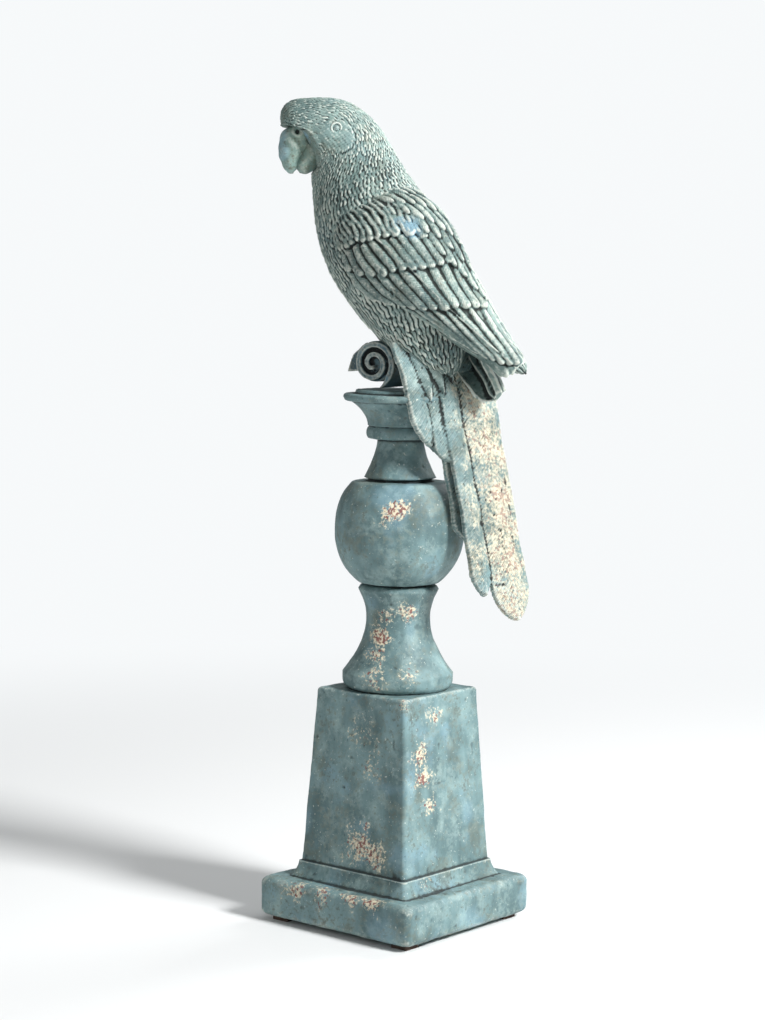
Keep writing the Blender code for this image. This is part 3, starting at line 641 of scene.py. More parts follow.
drum_rise = drum_radius * np.sin(around) + SCROLL_BAND / 3
drum = tube(scroll_place(drum_radius * np.cos(around), drum_length, drum_rise))
leaf = np.array([
    (SCROLL_RADIUS * roll + LEAF_REACH * past, SCROLL_RADIUS * up) for roll, past, up in LEAF_OUTLINE
])
leaf_length = np.linspace(-1, 1, 24)[:, None] * LEAF_WIDTH / 2
leaf_form = tube(scroll_place(leaf[None, :, 0], leaf_length, leaf[None, :, 1]))
mesh = fused("scroll", [outward(form) for form in (band, drum, leaf_form)], SCROLL_GRAIN, rounds=2)
hand_cast(mesh, seed=41, strength=0.5)
SCROLL_LOOK = {
    **PEDESTAL_LOOK, "deep": paint(40, 60, 68), "main": paint(70, 98, 106), "light": paint(118, 144, 150),
    "worn": 0.0, "wash_and_shade": 0.95, "rub_and_highlight": 0.6, "rub_and_highlight_from": 0.1, "rub_and_highlight_to": 3.0, "wash_and_shade_to": 2.0,
}
new_piece("scroll", mesh, weathered_paint("scroll_paint", SCROLL_LOOK))

# The parrot's body and head, in one with the scroll it sits on. Small overlapping feathers were cut into the
# clay in rows from the forehead back: fine beads on the crown, short strokes down the nape and larger scales
# on the breast.
HEAD_TURN = math.radians(40)
HEAD_CENTRE = (44, 154)
BODY_RINGS = (
    (-31, 12, 62, 8, 12), (-25, 24, 60, 17, 20), (-18, 38, 59, 26, 26), (-10, 54, 57, 32, 31),
    (1, 69, 57, 35, 33.5), (12, 85, 58, 36.5, 34), (22, 101.5, 60, 35, 31.5), (30, 118, 62, 30.5, 27.5),
)
HEAD_RINGS = (
    (-7, -20, 60, 27, 23.5, 0.4), (-1, -9.5, 44, 26.2, 22, 0.8), (7, -2, 24, 24, 21, 1),
    (17, -1, 8, 21, 19.5, 1), (26, 1, 0, 18, 17, 1), (32, 2, -6, 14, 13.5, 1), (35, 2, -10, 8, 8, 1),
)


def on_body(ahead, up, side, share=0.0):
    return on_perch(np.stack(np.broadcast_arrays(ahead, side, up), -1))


def on_head(ahead, up, side, share=1.0):
    """World places of points of the head, which is turned to the bird's left by a share of its turn."""
    turn = HEAD_TURN * share
    forward = HEAD_CENTRE[0] + ahead * math.cos(turn) - side * math.sin(turn)
    left = ahead * math.sin(turn) + side * math.cos(turn)
    return on_perch(np.stack(np.broadcast_arrays(forward, left, HEAD_CENTRE[1] + up), -1))


def oval(place, ring, around):
    """The points of one oval ring: up or down along its heading's normal, and out to the sides."""
    ahead, up, heading, depth, width, share = ring
    tilt = math.radians(heading)
    rise = depth * np.cos(around)
    return place(ahead - rise * math.sin(tilt), up + rise * math.cos(tilt), width * np.sin(around), share)


END_STEP, FINE_ROWS = 0.12, 900


def soft_loft(rings, rows, crowding=1.0):
    """A smooth closed surface near rings of points, shut at both ends. Crowding draws its rows to the last
    ring."""
    def beyond(end, inner, steps):
        """A ring shrunk to a point, a few steps past the end."""
        middle = rings[end].mean(0, keepdims=True)
        point = middle + (middle - rings[inner].mean(0)) * steps * END_STEP
        return np.repeat(point, rings.shape[1], 0)[None]

    before = [beyond(0, 1, steps) for steps in (2, 2, 1)]
    after = [beyond(-1, -2, steps) for steps in (1, 2, 2)]
    cage = np.concatenate([*before, rings, *after])
    fine = []
    for t in np.linspace(0, len(cage) - 3, FINE_ROWS, endpoint=False):
        k, t = int(t), t - int(t)
        weights = ((1 - t) ** 3, 3 * t**3 - 6 * t**2 + 4, -3 * t**3 + 3 * t**2 + 3 * t + 1, t**3)
        fine.append(sum(w * ring for w, ring in zip(weights, cage[k:k + 4])) / 6)
    fine = np.array(fine)
    steps = np.linalg.norm(np.diff(fine, axis=0), axis=-1).mean(1)
    lengths = np.concatenate([[0], np.cumsum(steps)])
    stops = lengths[-1] * (1 - 0.002 - 0.996 * np.linspace(1, 0, rows) ** crowding)
    span = np.clip(np.searchsorted(lengths, stops) - 1, 0, len(lengths) - 2)
    part = ((stops - lengths[span]) / (lengths[span + 1] - lengths[span]))[:, None, None]
    return fine[span] * (1 - part) + fine[span + 1] * part


BODY_ROWS, BODY_COLUMNS, BODY_CROWDING = 330, 288, 1.35
around = np.linspace(0, 2 * math.pi, BODY_COLUMNS, endpoint=False)
rings = [oval(on_body, (*ring, 0), around) for ring in BODY_RINGS]
rings += [oval(on_head, ring, around) for ring in HEAD_RINGS]
body_grid = soft_loft(np.array(rings), BODY_ROWS, BODY_CROWDING)[::-1]

steps = np.linalg.norm(np.diff(body_grid, axis=0), axis=-1).mean(1) / MM
back_from_brow = np.concatenate([[0], np.cumsum(steps)])
girth = np.linalg.norm(body_grid - np.roll(body_grid, 1, 1), axis=-1).sum(1) / MM

# Feather rows from the brow back: distance, then the spacing, width and height of the feathers there
PLUMAGE = np.array([
    (0, 1.6, 1.6, 0.45), (25, 1.9, 1.8, 0.5), (45, 2.4, 2.0, 0.6), (70, 3.0, 2.2, 0.75),
    (100, 3.6, 2.6, 0.9), (150, 4.6, 3.2, 1.1), (200, 5.2, 3.6, 1.2), (260, 5.6, 4.2, 1.3),
])


def plumage(distance, turn_share, girths, seed):
    """Height of overlapping feathers over a body, at distances from the brow and shares of the way round."""
    starts, at = [], 1.0
    while at < distance[-1]:
        starts.append(at)
        at += np.interp(at, PLUMAGE[:, 0], PLUMAGE[:, 1])
    starts = np.array(starts)
    spacing, width, height = (np.interp(starts, PLUMAGE[:, 0], PLUMAGE[:, k]) for k in (1, 2, 3))
    columns = np.maximum(np.round(np.interp(starts, distance, girths) / width), 6).astype(np.int64)
    turn = turn_share[None, :] * 2 * math.pi
    ragged = np.interp(distance, PLUMAGE[:, 0], PLUMAGE[:, 1])[:, None]
    wander = np.sin(9 * turn + 0.13 * distance[:, None]) + np.sin(23 * turn - 0.31 * distance[:, None] + 2)
    place = np.clip(distance[:, None] + 0.22 * ragged * wander, 0, None)
    row_now = np.searchsorted(starts, place) - 1
    relief = np.zeros(place.shape)
    for back in (0, 1, 2):
        row = np.clip(row_now - back, 0, len(starts) - 1)
        sway = 0.5 * (row % 2) + 0.3 * hashed(row, np.int64(seed)) + 0.12 * np.sin(0.9 * distance)[:, None]
        cell = turn_share[None, :] * columns[row] + sway
        number = np.floor(cell).astype(np.int64) % columns[row]
        aside = (cell - np.floor(cell)) * 2 - 1
        aside = aside + 0.25 * (hashed(number, row, np.int64(seed + 3)) - 0.5)
        chance = hashed(number, row, np.int64(seed + 1))
        along = (place - starts[row]) / (spacing[row] * (1.5 + 0.8 * chance))
        tip = 1 - 0.42 * np.abs(aside) ** 2.4
        rise = height[row] * (0.6 + 0.8 * hashed(number, row, np.int64(seed + 2)))
        crown = rise * (0.4 + 0.6 * np.sin(math.pi / 2 * along / tip)) * (1 - 0.85 * np.abs(aside) ** 2)
        inside = (along > 0) & (along < tip) & (row_now >= back) & (np.abs(aside) < 1)
        relief = np.where(inside, crown, relief)
    return relief


heights = plumage(back_from_brow, np.arange(BODY_COLUMNS) / BODY_COLUMNS, girth, seed=51)

# The face falls back under the brow to where the beak grows out of it, with a swollen rim round that place.
# Bare skin round the eyes has no feathers, only fine folds.
BEAK_SEAM = (
    (-30, 30), (-26, 17), (-22, 13.4), (-15, 14.4), (-9, 17), (-4.7, 19.5), (-1.2, 23), (0.8, 28), (2.5, 37),
)
FACE_PATCH_PLACE, FACE_PATCH_SIZE = (5.5, -4), (11, 10.5)
EYE_PLACE = (5.3, 0.2, 20.0)
origin = on_head(0, 0, 0)
ahead_way, up_way, side_way = (on_head(*way) - origin for way in ((1, 0, 0), (0, 1, 0), (0, 0, 1)))
local = (body_grid - origin) / MM
ahead, up, side = (local @ (way / MM) for way in (ahead_way, up_way, side_way))
seam = np.interp(up, [height for height, _ in BEAK_SEAM], [reach for _, reach in BEAK_SEAM])
seam = np.where(up < -30, 99, seam)
past = np.clip(ahead - seam, 0, None)
body_grid = body_grid - 0.8 * past[..., None] * ahead_way


def mound(distance, width):
    """1 in the middle of a soft mound, down to 0 outside its width."""
    return np.exp(-((distance / width) ** 2))


rim_of_beak = mound(ahead - seam + 1.6, 1.4) * (up < 3) * (up > -10)
patch_ahead = (ahead - FACE_PATCH_PLACE[0]) / FACE_PATCH_SIZE[0]
patch_up = (up - FACE_PATCH_PLACE[1]) / FACE_PATCH_SIZE[1]
patch = np.hypot(patch_ahead, patch_up)
on_side = np.clip((np.abs(side) - 9) / 3, 0, 1)
bare = np.clip((1.0 - patch) / 0.25, 0, 1) * on_side
round_folds = 0.07 * np.sin(patch * 15 + 2 * np.sin(np.arctan2(up, ahead - 5) * 3))
cross_folds = 0.12 * np.sin(ahead * 2.3 + up) * np.sin(up * 2.9)
rim = mound(patch - 1.02, 0.09) * on_side * np.clip((8 - ahead) / 10 + 0.2, 0, 1)
heights = heights * (1 - bare) + (0.5 + round_folds + cross_folds) * bare - 0.45 * rim
eye_away = np.hypot(ahead - EYE_PLACE[0], up - EYE_PLACE[1])
heights += on_side * (0.15 * mound(eye_away - 5.4, 0.9) - 0.6 * mound(eye_away, 2.4))
lores = np.clip((ahead - 12) / 4, 0, 1) * np.clip((3 - up) / 3, 0, 1) * np.clip((up + 22) / 4, 0, 1)
heights = heights * (1 - 0.6 * lores) + rim_of_beak * 0.35

# The rings give the outline over the feathers, so the skin between them lies lower.
BODY_SINK = 0.9
mesh = new_mesh("body_and_head", *tube(body_grid))
push_out(mesh, heights.reshape(-1) - BODY_SINK)
hand_cast(mesh, seed=61)
BIRD_LOOK = {
    "deep": paint(84, 106, 104), "main": paint(118, 142, 137), "light": paint(160, 178, 170), "rubbed_and_highlight": BONE,
    "mottle": 0.75, "blue": 0.08, "olive": 0.45, "worn": 0.0, "red": 0.3, "chip": (0.80, 0.88),
    "rub_and_highlight": 0.62, "rub_and_highlight_from": 0.12, "rub_and_highlight_to": 2.6, "wash_and_shade": 0.92, "wash_and_shade_to": 1.7, "hollow": 12,
    "grime": 0.45, "specks": 0.4, "pinholes": 0.5, "bump": 0.4,
}
bird_paint = weathered_paint("bird_paint", BIRD_LOOK, (), [
    (on_head(19, -2, 10) / MM, 4.5, 1.0), (on_head(17, -6, 10) / MM, 4, 0.8),
    (on_head(-8, -20, 12) / MM, 14, 0.4),
])
new_piece("body_and_head", mesh, bird_paint)

# The beak: an upper half that hooks down beside a stout lower one, smoother than the feathers and rubbed
# green-grey, with a soft cere and two nostrils where it meets the brow.
UPPER_BEAK_RINGS = (
    (18, 0, -50, 6, 8, 1), (26.5, -1.5, -78, 9.5, 9, 1), (26.8, -8, -86, 9.8, 9.6, 1),
    (28.8, -15, -95, 7.6, 8, 1), (29.4, -20.3, -100, 5.0, 6.0, 1), (27.9, -24.9, -112, 2.7, 3.5, 1),
)
LOWER_BEAK_RINGS = (
    (12, -6, -50, 7, 7, 1), (17.0, -13.5, -52, 7.3, 8.6, 1), (20.2, -19.2, -56, 7.0, 8.3, 1),
    (23.0, -24.2, -62, 4.4, 6.0, 1),
)
NOSTRIL_PLACE = (26.6, -1.6)
BEAK_LOOK = {
    **BIRD_LOOK, "deep": paint(92, 116, 112), "main": paint(124, 150, 142), "light": paint(160, 182, 166),
    "mottle": 0.9, "blue": 0.3, "rub_and_highlight": 0.5, "rub_and_highlight_from": 0.2, "rub_and_highlight_to": 3.0, "wash_and_shade_to": 2.0, "grime": 0.6,
}
beak_paint = weathered_paint("beak_paint", BEAK_LOOK, (), [
    (on_head(36, -4, 3) / MM, 7, 0.5), (on_head(35, -13, 3) / MM, 7, 0.5),
])
around = np.linspace(0, 2 * math.pi, 80, endpoint=False)
for name, beak_rings, rows in (("upper_beak", UPPER_BEAK_RINGS, 76), ("lower_beak", LOWER_BEAK_RINGS, 50)):
    grid = soft_loft(np.array([oval(on_head, ring, around) for ring in beak_rings]), rows)
    mesh = new_mesh(name, *tube(grid))
    points = (mesh_points(mesh) - origin) / MM
    ahead, up, side = (points @ (way / MM) for way in (ahead_way, up_way, side_way))
    nostril = np.hypot(ahead - NOSTRIL_PLACE[0], up - NOSTRIL_PLACE[1]) + 3 * (np.abs(side) < 4)
    dents = 0.3 * np.sin(ahead * 0.7 + 2 * np.sin(up * 0.35))
    push_out(mesh, dents - 1.6 * mound(nostril, 1.2) + 0.5 * mound(nostril - 2.4, 0.8))
    hand_cast(mesh, 71 + rows)
    new_piece(name, mesh, beak_paint)

# Each eye is a bead in a round lid, both part of the casting. The groove between them is darkened with a dark
# wash and painted shade.
EYE_RADIUS, LID_RADIUS, LID_WIRE = 1.7, 2.9, 0.7
EYE_STEP, EYE_SIDES = 0.22, 64
eye_line = [(0.15, EYE_RADIUS)]
for angle in np.linspace(0.2, 1.35, 8):
    eye_line.append((EYE_RADIUS * math.sin(angle), EYE_RADIUS * math.cos(angle)))
eye_line += [(EYE_RADIUS + 0.35, -0.4)]
for angle in np.linspace(math.pi, 0, 9):
    eye_line.append((LID_RADIUS + LID_WIRE * math.cos(angle), 0.1 + LID_WIRE * 1.1 * math.sin(angle)))
eye_line += [(LID_RADIUS + LID_WIRE + 0.3, -1.5), (0.3, -2.4)]
eye_rings = lathe(even_rows(eye_line, EYE_STEP), EYE_SIDES)
# The bead and the lid are rubbed pale, which is partly worn paint and partly a painted highlight.
EYE_LOOK = {
    **BIRD_LOOK, "main": paint(140, 160, 158), "light": paint(160, 180, 176),
    "rub_and_highlight": 0.85, "rub_and_highlight_to": 1.4, "wash_and_shade_to": 1.6,
}
eye_paint = weathered_paint("eye_paint", EYE_LOOK)
for name, out in (("left_eye", 1), ("right_eye", -1)):
    centre = on_head(EYE_PLACE[0], EYE_PLACE[1], EYE_PLACE[2] * out)
    faces_out = side_way / MM * out
    across_way = np.cross(faces_out, up_way / MM)
    turned_eye = eye_rings @ np.stack([across_way, up_way / MM, faces_out])
    new_piece(name, new_mesh(name, *tube(turned_eye + centre)), eye_paint)

# The folded wings: each is a thick curved shell with layers of feathers on it, long primaries towards the
# tip, then secondaries, coverts and the mantle over the shoulders. They were modelled on the body in clay and
# cast with it. The left wing lies high and the right one a little lower.
WING_STATIONS = (
    (30, 107, 7, 27), (20, 102, 19, 32), (8, 97, 26, 35.5), (-4, 87, 30, 37.5), (-17, 77, 28, 37),
    (-27, 69, 22.5, 34.5), (-38, 57, 17, 30), (-50, 45, 12.5, 24), (-60, 35, 10, 18), (-68, 27.5, 8, 13),
    (-74, 21, 7.5, 10), (-79, 16.5, 6, 7.5),
)
WING_HEADING, WING_STIFFNESS = np.array((-0.8, -0.6)), 0.6
WING_BACK, WING_EDGE, WING_OVERLAP = math.radians(80), math.radians(-35), 0.08
WING_SINK, WING_THICK, WING_GRAIN = 1.8, 6, 0.64
RIGHT_WING_DROP, RIGHT_WING_SINK = math.radians(8), 3


def curve_through(points, share):
    """Points on a smooth curve through some points, at shares of its spans."""
    points = np.asarray(points, float)
    place = np.clip(share, 0, 1) * (len(points) - 1)
    span = np.minimum(place.astype(int), len(points) - 2)
    t = (place - span)[..., None]
    a, b = points[np.maximum(span - 1, 0)], points[span]
    c, d = points[span + 1], points[np.minimum(span + 2, len(points) - 1)]
    return b + ((c - a) * t + (2 * a - 5 * b + 4 * c - d) * t**2 + (3 * b - a - 3 * c + d) * t**3) / 2


def unit(vectors):
    return vectors / np.maximum(np.linalg.norm(vectors, axis=-1, keepdims=True), 1e-9)


def wing_skin(along, across):
    """Points of the folded wing's outside as forward, left and up, at shares along it and down across it."""
    along, across = np.broadcast_arrays(np.asarray(along, float), np.asarray(across, float))
    forward, up, depth, reach = np.moveaxis(curve_through(WING_STATIONS, along), -1, 0)
    line = curve_through(WING_STATIONS, along + 0.01) - curve_through(WING_STATIONS, along - 0.01)
    heading = unit(WING_HEADING * WING_STIFFNESS + unit(line[..., :2]) * (1 - WING_STIFFNESS))
    angle = WING_BACK + (WING_EDGE - WING_BACK) * across
    low, high = math.sin(WING_EDGE), math.sin(WING_BACK)
    rise = depth * (2 * (np.sin(angle) - low) / (high - low) - 1)
    forward, up = forward + rise * heading[..., 1], up - rise * heading[..., 0]
    return np.stack([forward, reach * np.cos(angle), up], -1)


def wing_slopes(along, across, step=0.012):
    """How the wing's outside runs on towards the tip and towards the lower edge, and which way it faces."""
    tipward = (wing_skin(along + step, across) - wing_skin(along - step, across)) / (2 * step)
    edgeward = (wing_skin(along, across + step) - wing_skin(along, across - step)) / (2 * step)
    return tipward, edgeward, unit(np.cross(edgeward, tipward))


def on_wing(points, left_wing):
    """World places of points of a wing. The right wing mirrors the left one and hangs a little lower."""
    if left_wing:
        return on_perch(points)
    shoulder = np.array((WING_STATIONS[0][0], 0, WING_STATIONS[0][1]))
    forward, left, up = np.moveaxis(points - shoulder, -1, 0)
    turn = -RIGHT_WING_DROP
    hung = np.stack([
        forward * math.cos(turn) + up * math.sin(turn), left, up * math.cos(turn) - forward * math.sin(turn),
    ], -1) + shoulder
    hung = hung - np.array((WING_HEADING[1], 0, -WING_HEADING[0])) * RIGHT_WING_SINK
    return on_perch(hung * (1, -1, 1))


def vane_width(share, root_width, widest, rounds):
    """Half width along a feather, as a share of its widest: a narrow root and a round tip."""
    spread = root_width + (1 - root_width) * np.clip(share / widest, 0, 1)
    return spread * np.sqrt(np.clip(1 - (np.clip(share - rounds, 0, 1) / (1 - rounds)) ** 2, 0.0, 1))


# Rows of wing feathers, the lowest first: how many, where their roots lie and where their tips lie as shares
# along and across the wing, half width as a share of their spacing, lift at the root and the tip, where the
# tip starts to round, and how far their edges fall away
WING_ROWS = [
    (3, ((0.50, 1.10), (0.58, 0.92)), ((0.90, 1.45), (0.96, 1.0)), 0.7, -0.6, 0.6, 0.86, 1.2),
    (8, ((0.38, 0.97), (0.45, 0.90), (0.49, 0.82), (0.52, 0.70), (0.55, 0.58), (0.58, 0.46), (0.61, 0.30),
         (0.64, 0.10)),
     ((0.66, 0.97), (0.71, 0.96), (0.76, 0.95), (0.81, 0.92), (0.86, 0.83), (0.91, 0.70), (0.96, 0.54),
      (0.975, 0.36)), 0.6, -0.4, 1.0, 0.88, 1.9),
    (11, ((0.22, 0.98), (0.28, 0.84), (0.34, 0.74), (0.39, 0.62), (0.44, 0.44), (0.47, 0.22), (0.49, 0.05)),
     ((0.37, 0.99), (0.48, 0.97), (0.52, 0.86), (0.57, 0.70), (0.61, 0.51), (0.635, 0.29), (0.65, 0.08)),
     0.6, -0.1, 1.3, 0.86, 1.9),
    (13, ((0.08, 1.0), (0.15, 0.89), (0.22, 0.72), (0.25, 0.61), (0.29, 0.50), (0.32, 0.41), (0.36, 0.27),
          (0.40, 0.10)),
     ((0.18, 1.02), (0.28, 0.88), (0.34, 0.76), (0.39, 0.66), (0.44, 0.55), (0.47, 0.43), (0.49, 0.28),
      (0.50, 0.10)), 0.6, 0.2, 1.6, 0.84, 1.8),
    (14, ((0.02, 0.98), (0.08, 0.82), (0.12, 0.69), (0.17, 0.60), (0.21, 0.52), (0.25, 0.42), (0.30, 0.27)),
     ((0.09, 1.0), (0.14, 0.92), (0.18, 0.82), (0.22, 0.68), (0.26, 0.57), (0.30, 0.46), (0.37, 0.28)),
     0.6, 0.4, 1.6, 0.74, 1.5),
    (5, ((0.30, 0.22), (0.42, 0.02)), ((0.46, 0.24), (0.63, 0.02)), 0.68, 0.5, 2.4, 0.75, 1.4),
    (5, ((0.22, 0.24), (0.34, 0.02)), ((0.37, 0.26), (0.54, 0.02)), 0.68, 0.6, 2.6, 0.75, 1.4),
    (6, ((0.14, 0.24), (0.26, 0.02)), ((0.28, 0.27), (0.45, 0.02)), 0.68, 0.7, 2.8, 0.75, 1.4),
    (6, ((0.07, 0.24), (0.18, 0.01)), ((0.20, 0.27), (0.35, 0.02)), 0.68, 0.8, 2.8, 0.75, 1.3),
    (6, ((0.02, 0.22), (0.09, 0.01)), ((0.12, 0.25), (0.25, 0.02)), 0.68, 0.9, 2.8, 0.75, 1.2),
]
# The shoulder has rows of short feathers, from the first covert row forward to the wing's front edge.
FRONT_EDGE = np.array((
    (0.0, 0.97), (-0.01, 0.78), (-0.01, 0.58), (-0.01, 0.42), (0.02, 0.28), (0.07, 0.17), (0.13, 0.12),
))
COVERT_ROOTS = np.array((
    (0.05, 1.0), (0.12, 0.86), (0.17, 0.70), (0.22, 0.57), (0.27, 0.44), (0.31, 0.35), (0.34, 0.27),
))
SHOULDER_ROWS, SHOULDER_FEATHERS = 7, 19
for step in range(SHOULDER_ROWS)[::-1]:
    back = (COVERT_ROOTS - FRONT_EDGE) / SHOULDER_ROWS
    roots, tips = FRONT_EDGE + back * (step - 0.2), FRONT_EDGE + back * (step + 1.5)
    WING_ROWS.append((SHOULDER_FEATHERS, roots, tips, 0.6, 0.9, 1.5, 0.5, 1.2))
FEATHER_STEP = 0.7


def feather(root, tip, width, lifts, rounds, crown, chance):
    """One feather on the wing as two sheets of points, with places along it and beside its shaft."""
    length = np.linalg.norm(wing_skin(*tip) - wing_skin(*root))
    share = np.linspace(0, 1, max(int(length / FEATHER_STEP), 9))[:, None]
    aside = np.linspace(-1, 1, 15)[None, :]
    bow = 0.012 * (chance - 0.5) * np.sin(share * math.pi)
    along = root[0] + (tip[0] - root[0]) * share + bow
    across = root[1] + (tip[1] - root[1]) * share + bow * 3
    along_full, across_full = np.broadcast_arrays(along, across)
    tipward, edgeward, faces = wing_slopes(along_full, across_full)
    flow = unit(np.gradient(wing_skin(along_full, across_full)[:, 0], axis=0))[:, None]
    sideways = unit(np.cross(flow, faces))
    offset = width * vane_width(share, 0.75, 0.4, rounds) * aside
    reach = sideways * offset[..., None]
    aa, ab, bb = (tipward**2).sum(-1), (tipward * edgeward).sum(-1), (edgeward**2).sum(-1)
    ra, rb = (reach * tipward).sum(-1), (reach * edgeward).sum(-1)
    scale = aa * bb - ab**2
    spot = wing_skin(along + (ra * bb - rb * ab) / scale, across + (rb * aa - ra * ab) / scale)
    lift = lifts[0] + (lifts[1] - lifts[0]) * share
    waves = 0.15 * np.sin(share * length / 4 + 9 * chance)
    height = lift + 0.2 * aside - crown * np.abs(aside) ** 2.4 + waves
    top = spot + faces * height[..., None]
    under = spot + faces * (lift - crown - 1.4 + 0 * aside)[..., None]
    return top, under, share * length + 0 * offset, offset


def add_attributes(mesh, forms, tags):
    """Gives each point of a fused skin its place along its feather and beside the shaft, from the nearest."""
    points, faces = joined(forms)
    values = np.concatenate(tags)
    tree = BVHTree.FromPolygons(points.tolist(), faces)
    skin = mesh_points(mesh)
    hits = [tree.find_nearest(point) for point in skin.tolist()]
    corners = np.array([faces[hit[2]] for hit in hits])
    spots = np.array([tuple(hit[0]) for hit in hits])
    away = np.linalg.norm(points[corners] - spots[:, None], axis=-1)
    weights = 1 / np.maximum(away, 1e-7) ** 2
    found = (values[corners] * weights[..., None]).sum(1) / weights.sum(1)[:, None]
    store(mesh, "along_feather", found[:, 0])
    store(mesh, "beside_shaft", found[:, 1])
    return found


def comb_barbs(mesh, found, spacing, depth):
    """Cuts the slanting grooves between the barbs into a feathered skin."""
    slant = found[:, 0] - BARB_SLANT * np.abs(found[:, 1])
    grooves = np.sin(slant * 2 * math.pi / spacing)
    push_out(mesh, depth * grooves * np.clip(np.abs(found[:, 1]) / 0.8, 0, 1))


def spread_along(line, count):
    """Points at even shares along a line of points."""
    places, evenly = np.linspace(0, 1, len(line)), np.linspace(0, 1, count)
    return np.stack([np.interp(evenly, places, np.array(line)[:, k]) for k in (0, 1)], 1)


WING_LOOK = {**BIRD_LOOK, "barbs": 1.3, "barb_groove_dark": 0.15, "rub_and_highlight": 0.7, "rub_and_highlight_to": 2.0, "wash_and_shade_to": 1.5}
WING_SKIES = [((24, 25, 407), 8, 0.8), ((27, 20, 410), 6, 0.6)]
wing_paint = weathered_paint("wing_paint", WING_LOOK, (), WING_SKIES)
for name, left_wing in (("left_wing", True), ("right_wing", False)):
    along = np.linspace(0, 1, 120)[:, None]
    across = np.linspace(-WING_OVERLAP, 1, 70)[None, :]
    faces = wing_slopes(along, across)[2]
    shell = wing_skin(along, across)
    outside, inside = (on_wing(shell - faces * depth, left_wing) for depth in (WING_SINK, WING_THICK))
    forms = [outward(slab_form(outside, inside))]
    tags = [np.zeros((len(forms[0][0]), 2))]
    for layer, (count, roots, tips, full, low, high, rounds, crown) in enumerate(WING_ROWS):
        roots, tips = spread_along(roots, count), spread_along(tips, count)
        root_spots, tip_spots = wing_skin(*roots.T), wing_skin(*tips.T)
        flow = unit(tip_spots - root_spots)[1:]
        gaps = np.diff((root_spots + tip_spots) / 2, axis=0)
        spacing = np.linalg.norm(gaps - (gaps * flow).sum(-1, keepdims=True) * flow, axis=-1).mean()
        for k in range(count):
            chance = hashed(np.int64(k), np.int64(layer), np.int64(left_wing + 5))
            root, tip = roots[k], tips[k] + 0.1 * (chance - 0.5) * (tips[k] - roots[k])
            width = full * spacing * (0.92 + 0.16 * chance)
            top, under, down, beside = feather(root, tip, width, (low, high), rounds, crown, chance)
            forms.append(outward(slab_form(on_wing(top, left_wing), on_wing(under, left_wing))))
            tags.append(np.tile(np.stack([down.ravel(), beside.ravel()], 1), (2, 1)))
    mesh = fused(name, forms, WING_GRAIN, rounds=1)
    comb_barbs(mesh, add_attributes(mesh, forms, tags), spacing=2.3, depth=0.02)
    hand_cast(mesh, 81 + left_wing, strength=1.2)
    new_piece(name, mesh, wing_paint)

# Between the wings the casting is solid: the back and rump, with short feathers down to the folded primaries.
# They are cut into the clay as on the neck, where the wings leave them in sight.
BACK_ROWS, BACK_COLUMNS, BACK_HEADING, BACK_FROM_BROW, BACK_SINK = 190, 110, 217, 110, 0.5
around = np.linspace(0, 2 * math.pi, BACK_COLUMNS, endpoint=False)
back_rings = [
    oval(on_body, (forward, up, BACK_HEADING, depth * 0.7, reach * 0.75, 0), around)
    for forward, up, depth, reach in WING_STATIONS[3::2]
]
back_grid = soft_loft(np.array(back_rings), BACK_ROWS)
steps = np.linalg.norm(np.diff(back_grid, axis=0), axis=-1).mean(1) / MM
down_back = np.concatenate([[0], np.cumsum(steps)])
back_girth = np.linalg.norm(back_grid - np.roll(back_grid, 1, 1), axis=-1).sum(1) / MM
mesh = new_mesh("back_under_wings", *tube(back_grid))
from_brow = down_back + BACK_FROM_BROW
back_heights = plumage(from_brow, np.arange(BACK_COLUMNS) / BACK_COLUMNS, back_girth, seed=57)
push_out(mesh, back_heights.reshape(-1) - BACK_SINK)
hand_cast(mesh, seed=91, strength=0.5)
new_piece("back_under_wings", mesh, bird_paint)

# The long tail hangs clear of the finial: a few long feathers in steps, with a ridge where their shafts meet,
# and short coverts over their roots. Its paint is the most worn, down to the cream and red coats.
TAIL_LINE = ((-24, 34), (-36, 8), (-45, -29), (-52, -60), (-58.5, -92), (-67.5, -132))
TAIL_TURN, TAIL_LENGTH, TAIL_GRAIN, SAW_STEP = math.radians(20), 170, 0.70, 3.1
# Its feathers, as place to the left of the ridge, height, start and end down the tail, half width, where the
# tip starts to narrow, and how far the tip leans to the left
TAIL_FEATHERS = (
    (0, -7, 0.0, 0.76, 13, 0.9, 0), (-19, -4.4, 0.0, 0.84, 7, 0.86, -3),
    (22, -5.6, 0.0, 0.42, 9.5, 0.72, -6), (13.5, -3.0, 0.0, 0.45, 7.5, 0.88, -1),
    (5.2, 0.2, 0.0, 0.905, 7.4, 0.93, 1), (-14.5, 1.0, 0.0, 0.985, 14, 0.90, 0),
    (18, -2.6, -0.02, 0.26, 4.5, 0.6, 2), (11, 0.8, -0.02, 0.24, 4.5, 0.6, 1),
    (3, 2.4, -0.02, 0.20, 4.8, 0.6, 0),
)


def on_tail(share, left, height):
    """World places of points of the tail: a share down its ridge, out to the left and up from its back."""
    share, left, height = np.broadcast_arrays(np.asarray(share, float), left, height)
    spot = curve_through(TAIL_LINE, share)
    line = curve_through(TAIL_LINE, share + 0.02) - curve_through(TAIL_LINE, share - 0.02)
    line = unit(np.stack([line[..., 0], 0 * share, line[..., 1]], -1))
    leftward = np.array((math.sin(TAIL_TURN), math.cos(TAIL_TURN), 0))
    outward_way = unit(np.cross(line, leftward))
    outward_way = np.where(outward_way[..., :1] > 0, -outward_way, outward_way)
    spot = np.stack([spot[..., 0], 0 * share, spot[..., 1]], -1)
    return on_perch(spot + leftward * left[..., None] + outward_way * height[..., None])


